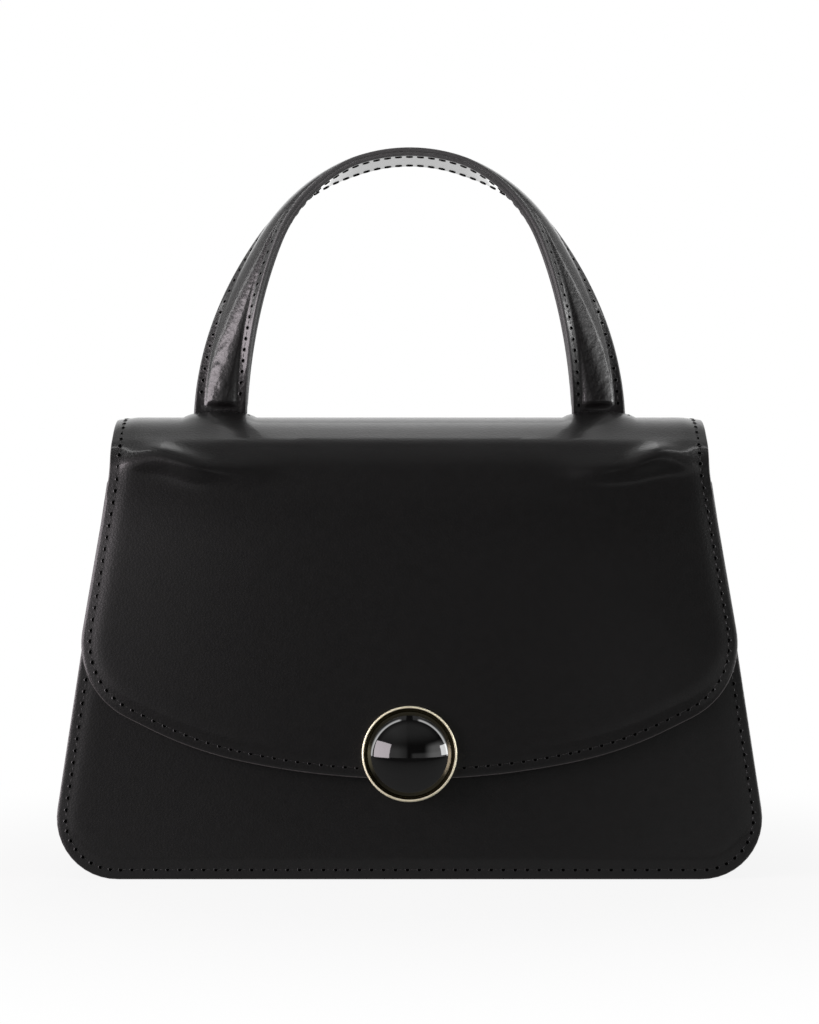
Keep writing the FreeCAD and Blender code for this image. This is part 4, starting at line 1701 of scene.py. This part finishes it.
    def build(self) -> None:
        """Make the strap, its foam and lining, and the stitches on both faces."""
        strap = Pattern(
            self.band(self.half_length + self.end_tuck, self.width / 2), self.border, self.leather,
            self.leather_cell, self.edge_round, self.padding, Rounded.UPPER,
        )
        leather = make_piece(
            "handle_leather", strap.formed(self.strap), (HANDLE_CALF, HANDLE_EDGE_SHEEN),
            ("handle_strap",),
        )
        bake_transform(leather)
        under = -self.leather_foot - self.glue
        lining = Pattern(
            self.band(self.pad_end, self.width / 2), [(inset, under) for inset in self.lining_rings],
            self.lining, self.lining_cell, self.edge_round, rounded=Rounded.LOWER,
        )
        make_piece(
            "handle_underside", lining.formed(self.strap), (GLAZED_CALF, HANDLE_EDGE_SHEEN),
            ("handle_lining",), Body.HANDLE,
        )
        end_gap, side_gap = self.foam_gap
        foam = Pattern(
            self.band(self.pad_end - end_gap, self.crown_half - side_gap),
            [(inset, under) for inset in self.foam_rings], self.foam, self.foam_cell, 0.0, self.padding,
        )
        make_piece(
            "handle_foam", foam.formed(self.strap), (FOAM, FOAM), ("handle_core",),
            Body.HANDLE,
        )
        self._sew(strap, under - self.lining)

    def _sew(self, strap: Pattern, under_face: float) -> None:
        """Make the two rows of stitches above and below.

        Args:
            strap: Pattern of the outer leather.
            under_face: Height of the lining's lower face.
        """
        upper, lower = [], []
        reach = self.pad_end - self.seam_gap
        count = round(2 * reach / SEAM.pitch)
        row = self.width / 2 - self.seam_inset
        for w in (-row, row):
            for i in range(count):
                at, along = Vector((-reach + 2 * reach * (i + 0.5) / count, w)), Vector((1, 0))
                height = strap.stitch_height(at.x, at.y, self.seam_inset)
                upper.append(SEAM.place(self.strap, at, along, height))
                lower.append(DASH_SEAM.place(upside_down(self.strap), at, along, -under_face))
        make_seam("handle_stitches", SEAM, upper, HANDLE_CALF, Body.HANDLE)
        make_seam(
            "handle_underside_stitches", DASH_SEAM, lower, GLAZED_CALF, Body.HANDLE
        )


# Clasp

@dataclass
class Clasp:
    """Jewelled clasp: a gilt cup with a beaded rim, and a domed stone in it."""

    form: BagForm
    cup_radius: float = 15.8
    cup_height: float = 3.6
    rim: float = 0.72
    bead: Points = (
        (0.0, 0.6), (0.05, 0.4), (0.13, 0.2), (0.25, 0.08), (0.42, 0.02), (0.64, 0.0), (0.72, 0.08),
    )                            # steps in from the cup's side and down from its top
    wall_foot: float = 2.9       # height at which the wall inside the rim ends
    ledge: tuple[float, float] = (0.3, 2.3)        # slope below it: out from the stone's seat, and height
    floor: float = 1.2
    foot: float = 0.6
    foot_step: float = 0.15
    side_foot: float = 1.1
    glue: float = 0.05
    stone_radius: float = 14.0
    girdle: float = 1.0
    girdle_top: Points = ((0.12, 0.02), (0.0, -0.15))  # stone's edges: steps in from its side,
    girdle_foot: Points = ((0.0, 0.2), (0.2, 0.0))     # and up from the girdle's top or foot
    dome: float = 6.6
    dome_steps: int = 24
    steps: int = 96
    weld: float = 0.002

    def place(self) -> Matrix:
        """Clasp's frame: Z square out of the flap.

        Returns:
            The matrix in metres.
        """
        z = self.form.flap_tip + self.form.clasp_above_tip
        turn = Matrix.Rotation(math.pi / 2 - self.form.flap_lean, 4, "X")
        return Matrix.Translation(Vector((0, self.form.flap_y(z), z)) * MM) @ turn

    def turned(self, profile: Sequence[tuple[float, float]], satin_from: float = math.inf) -> BMesh:
        """Turn a profile of (radius, height) points about the clasp's axis.

        Args:
            profile: Points from the axis round to the axis again.
            satin_from: Radius from which the surface is satin.

        Returns:
            The closed turned body in its place.
        """
        bm = bmesh.new()
        verts = [bm.verts.new((r * MM, 0, h * MM)) for r, h in profile]
        edges = [bm.edges.new(pair) for pair in zip(verts, verts[1:])]
        bmesh.ops.spin(
            bm, geom=verts + edges, axis=(0, 0, 1), cent=(0, 0, 0), angle=2 * math.pi, steps=self.steps,
            use_merge=True,
        )
        bmesh.ops.remove_doubles(bm, verts=bm.verts[:], dist=self.weld * MM)
        bmesh.ops.recalc_face_normals(bm, faces=bm.faces[:])
        for face in bm.faces:
            if face.calc_center_median().xy.length > satin_from * MM:
                face.material_index = CupSlot.SATIN
        bmesh.ops.transform(bm, matrix=self.place(), verts=bm.verts[:])
        return bm

    def build(self) -> None:
        """Make the cup and the stone."""
        make_piece(
            "clasp_rim", self.turned(self.cup_profile(), self.cup_radius - self.rim), (GILT, SATIN_GILT),
            ("clasp_cup",), Body.FLAP,
        )
        make_piece(
            "clasp_stone", self.turned(self.stone_profile()), (STONE,), ("clasp_cabochon",),
            Body.FLAP,
        )

    def cup_profile(self) -> list[tuple[float, float]]:
        """Profile of the cup.

        Returns:
            Points from the axis under it, over its rim, to the axis on its floor.
        """
        outer, top = self.cup_radius, self.cup_height
        seat, (out, ledge) = self.stone_radius + self.glue, self.ledge
        outside = [
            (0, self.glue), (outer - self.foot, self.glue), (outer - self.foot_step, self.foot),
            (outer, self.side_foot),
        ]
        bead = [(outer - step, top - drop) for step, drop in self.bead]
        inside = [
            (outer - self.rim, self.wall_foot), (seat + out, ledge), (seat, self.floor), (0, self.floor),
        ]
        return outside + bead + inside

    def stone_profile(self) -> list[tuple[float, float]]:
        """Profile of the stone.

        Returns:
            Points from the top of its dome round to the axis under it.
        """
        base, radius = self.floor + self.glue, self.stone_radius
        ball = (radius ** 2 + self.dome ** 2) / (2 * self.dome)
        edge = base + self.girdle
        half_angle = math.asin(radius / ball)
        points = []
        for i in range(self.dome_steps):
            angle = half_angle * i / self.dome_steps
            points.append((ball * math.sin(angle), edge + self.dome - ball * (1 - math.cos(angle))))
        points += [(radius - step, edge + up) for step, up in self.girdle_top]
        points += [(radius - step, base + up) for step, up in self.girdle_foot]
        return points + [(0, base)]


def dress_carried_over() -> None:
    """Give every CAD node that stays its own finish."""
    finishes = {
        BOARD: ("front_board", "back_board", "flap_board", "crest_board"),
        TWILL: ("base_shaper",),
        GILT: ("snap_socket", "snap_stud"),
        NICKEL: ("snap_washer",),
        MAGNET: ("snap_magnet",),
        BOX_CALF: ("left_handle_tail", "right_handle_tail"),
    }
    for finish, nodes in finishes.items():
        for node in nodes:
            for slot in frame["nodes"][node].material_slots:
                slot.material = finish.material()


# Studio

@dataclass(frozen=True)
class Softbox:
    """One rectangular lamp: where it hangs, what it faces, its size and brightness."""

    name: str
    place: tuple[float, float, float]
    aim: tuple[float, float, float]
    size: tuple[float, float]
    brightness: float
    tint: str = "#ffffff"

    def hang(self) -> None:
        """Add the lamp to the scene."""
        lamp = bpy.data.lights.new(self.name, "AREA")
        lamp.shape = "RECTANGLE"
        lamp.size, lamp.size_y = self.size
        lamp.energy = self.brightness * LAMP_POWER * self.size[0] * self.size[1]
        lamp.color = linear(self.tint)[:3]
        obj = bpy.data.objects.new(self.name, lamp)
        direction = Vector(self.aim) - Vector(self.place)
        turn = direction.to_track_quat("-Z", "Y").to_matrix().to_4x4()
        obj.matrix_world = Matrix.Translation(self.place) @ turn
        bpy.context.scene.collection.objects.link(obj)


@dataclass(frozen=True)
class Ramp:
    """Change of light with one part of a direction or place: aside, across, along, away or up."""

    name: str
    part: str
    start: float
    end: float
    low: float
    high: float
    ease: Ease = Ease.SMOOTH

    def settings(self) -> dict[str, float | str]:
        """Settings of the node that makes the ramp."""
        bounds = {"From Min": self.start, "From Max": self.end, "To Min": self.low, "To Max": self.high}
        return {"interpolation_type": self.ease.value, **bounds}


@dataclass
class Studio:
    """White floor and surround, soft lamps and the camera."""

    camera_place: tuple[float, float, float] = (0.0, -0.900, 0.1226)
    lens: float = 91.4
    sensor: float = 36.0
    floor_size: float = 8.0
    floor_segments: int = 8
    floor_colour: str = "#f2f2f2"
    floor_white: Ramp = Ramp("white", "away", 0.1, 0.32, 0.88, 1.0)  # plain white away from the bag
    floor_ahead: Ramp = Ramp("ahead", "along", -0.35, -0.08, 0.07, 0.28, Ease.EVEN)  # mirrored: dark
    floor_behind: Ramp = Ramp("behind", "along", -0.04, 0.05, 0.0, 1.0)  # in front, white behind
    tent_edge: Ramp = Ramp("edge", "past_edge", -0.09, -0.05, 0.0, 1.0)  # front edge of the white tent
    ramps: tuple[Ramp, ...] = (
        Ramp("slant", "aside", 0.06, 0.10, 0.33, 0.0),       # how far that edge draws back overhead
        Ramp("cloth", "up", 0.45, 0.85, 1.5, 0.42),          # tent, brighter low down than overhead
        Ramp("flank", "aside", 0.3, 0.6, 1.0, 0.45),         # and darker at its sides
        Ramp("strip", "along", -0.03, 0.05, 6.5, 0.0),       # bright strip along its front edge,
        Ramp("strip_side", "aside", 0.2, 0.3, 0.0, 1.0),     # away from the middle
        Ramp("dark", "up", 0.40, 0.85, 0.045, 0.27),         # studio in front of it
        Ramp("gap", "along", -0.35, -0.05, 1.0, 0.2),        # dark gap between studio and tent
        Ramp("left_near", "across", -0.16, -0.03, 0.26, 0.0),
        Ramp("left_far", "across", -0.5, -0.1, 0.3, 0.0),
        Ramp("left_low", "up", 0.2, 0.5, 1.0, 0.25),
        Ramp("right_near", "across", 0.03, 0.16, 0.0, 0.4),
        Ramp("right_low", "up", 0.1, 0.2, 1.0, 0.0),
        Ramp("right_far", "across", 0.5, 0.8, 0.0, 1.5),
        Ramp("right_high", "up", 0.3, 0.5, 1.0, 0.0),
    )
    steps: tuple[tuple[str, str, str, str], ...] = (
        ("height", "MULTIPLY", "up", "up"),
        ("drawn", "MULTIPLY", "slant", "height"),
        ("past_edge", "SUBTRACT", "along", "drawn"),
        ("tent", "MULTIPLY", "cloth", "flank"),
        ("strip", "MULTIPLY", "strip", "strip_side"),
        ("tent", "ADD", "tent", "strip"),
        ("left", "ADD", "left_near", "left_far"),
        ("left", "MULTIPLY", "left", "left_low"),
        ("right_near", "MULTIPLY", "right_near", "right_low"),
        ("right_far", "MULTIPLY", "right_far", "right_high"),
        ("right", "ADD", "right_near", "right_far"),
        ("walls", "ADD", "left", "right"),
        ("studio", "ADD", "walls", "dark"),
        ("studio", "MULTIPLY", "studio", "gap"),
    )
    ambient: float = 0.30
    lamps: tuple[Softbox, ...] = (
        Softbox("overhead_lamp", (0.0, 0.95, 1.35), (0.0, 0.92, 0.0), (0.33, 0.9), 1.3),
        Softbox("left_lamp", (-1.25, -0.67, 0.36), (0.0, 0.0, 0.10), (1.0, 0.72), 6.0, "#fff4fa"),
        Softbox("right_lamp", (1.43, -0.27, 0.30), (0.0, 0.0, 0.10), (0.46, 0.43), 8.0),
    )

    def build(self) -> None:
        """Set up world, floor, lamps and camera."""
        scene = bpy.context.scene
        scene.view_settings.view_transform = "Standard"
        self._surround(scene)
        self._floor()
        for lamp in self.lamps:
            lamp.hang()
        camera = bpy.data.cameras.new("camera")
        camera.lens, camera.sensor_width = self.lens, self.sensor
        camera.sensor_fit = "AUTO"
        obj = bpy.data.objects.new("camera", camera)
        obj.location = self.camera_place
        obj.rotation_euler = (math.pi / 2, 0, 0)
        scene.collection.objects.link(obj)
        scene.camera = obj

    @staticmethod
    def _looks(tree: NodeTree) -> tuple[NodeSocket, NodeSocket]:
        """Tell how the surround is looked at.

        Args:
            tree: Node tree that asks.

        Returns:
            Sockets that are 1 where it is seen plainly or through glass, and where it is mirrored.
        """
        ray = add_node(tree, "ShaderNodeLightPath").outputs
        plain = add_node(
            tree, "ShaderNodeMath", {"operation": "MAXIMUM"},
            {0: ray["Is Camera Ray"], 1: ray["Is Transmission Ray"]},
        )
        return plain.outputs[0], ray["Is Glossy Ray"]

    def _surround(self, scene: Scene) -> None:
        """Put a white tent behind and over the bag, and a dark studio in front of it for reflections.

        Args:
            scene: Scene that gets the new world.
        """
        world = bpy.data.worlds.new("studio")
        world.use_nodes = True
        scene.world = world
        tree = world.node_tree
        seen, mirrored = self._looks(tree)
        direction = add_node(tree, "ShaderNodeTexCoord").outputs["Generated"]
        split = add_node(tree, "ShaderNodeSeparateXYZ", links={0: direction})
        value = dict(zip(("across", "along", "up"), split.outputs))
        value["aside"] = add_node(
            tree, "ShaderNodeMath", {"operation": "ABSOLUTE"}, {0: value["across"]}
        ).outputs[0]
        for ramp in self.ramps:
            links = {"Value": value[ramp.part]}
            value[ramp.name] = add_node(tree, "ShaderNodeMapRange", ramp.settings(), links).outputs[0]
        for name, operation, a, b in self.steps:
            links = {0: value[a], 1: value[b]}
            value[name] = add_node(tree, "ShaderNodeMath", {"operation": operation}, links).outputs[0]
        behind = add_node(
            tree, "ShaderNodeMapRange", self.tent_edge.settings(),
            {"Value": value[self.tent_edge.part], "To Min": value["studio"], "To Max": value["tent"]},
        )
        shine = add_node(
            tree, "ShaderNodeMix", {"data_type": "FLOAT", 2: self.ambient},
            {0: mirrored, 3: behind.outputs[0]},
        )
        strength = add_node(
            tree, "ShaderNodeMix", {"data_type": "FLOAT", 3: 1.0}, {0: seen, 2: shine.outputs[0]}
        )
        tree.links.new(tree.nodes["Background"].inputs["Strength"], strength.outputs[0])
        tree.nodes["Background"].inputs["Color"].default_value = (1, 1, 1, 1)

    def _floor(self) -> None:
        """Lay a pale floor that looks white and keeps a soft shadow."""
        bm = bmesh.new()
        count = self.floor_segments
        bmesh.ops.create_grid(bm, x_segments=count, y_segments=count, size=self.floor_size / 2)
        mesh = bpy.data.meshes.new("floor")
        bm.to_mesh(mesh)
        bm.free()
        material = bpy.data.materials.new("white_floor")
        material.use_nodes = True
        tree = material.node_tree
        tree.nodes.remove(tree.nodes["Principled BSDF"])
        seen, mirrored = self._looks(tree)
        place = add_node(tree, "ShaderNodeTexCoord").outputs["Object"]
        along = add_node(tree, "ShaderNodeSeparateXYZ", links={0: place}).outputs["Y"]
        away = add_node(tree, "ShaderNodeVectorMath", {"operation": "LENGTH"}, {0: place}).outputs["Value"]
        white = add_node(tree, "ShaderNodeMapRange", self.floor_white.settings(), {"Value": away})
        share = add_node(
            tree, "ShaderNodeMath", {"operation": "MULTIPLY_ADD"},
            {0: seen, 1: white.outputs[0], 2: mirrored},
        )
        ahead = add_node(tree, "ShaderNodeMapRange", self.floor_ahead.settings(), {"Value": along})
        behind = add_node(
            tree, "ShaderNodeMapRange", self.floor_behind.settings(),
            {"Value": along, "To Min": ahead.outputs[0]},
        )
        level = add_node(
            tree, "ShaderNodeMix", {"data_type": "FLOAT", 2: 1.0}, {0: mirrored, 3: behind.outputs[0]}
        )
        paint = add_node(tree, "ShaderNodeBsdfDiffuse", {"Color": linear(self.floor_colour)})
        glow = add_node(tree, "ShaderNodeEmission", links={"Strength": level.outputs[0]})
        mix = add_node(
            tree, "ShaderNodeMixShader",
            links={0: share.outputs[0], 1: paint.outputs[0], 2: glow.outputs[0]},
        )
        tree.links.new(tree.nodes["Material Output"].inputs["Surface"], mix.outputs[0])
        mesh.materials.append(material)
        floor = bpy.data.objects.new("floor", mesh)
        bpy.context.scene.collection.objects.link(floor)


def main() -> None:
    """Build the bag piece by piece, dress it and set up the studio."""
    logging.basicConfig(level=logging.INFO, format="%(name)s: %(message)s")
    form = BagForm()
    for part in (BackAndFlap(form), BodyLeather(form), Linings(form), Handle(form), Clasp(form)):
        log.info("building %s", type(part).__name__)
        part.build()
    dress_carried_over()
    Studio().build()


if __name__ == "__main__":
    main()
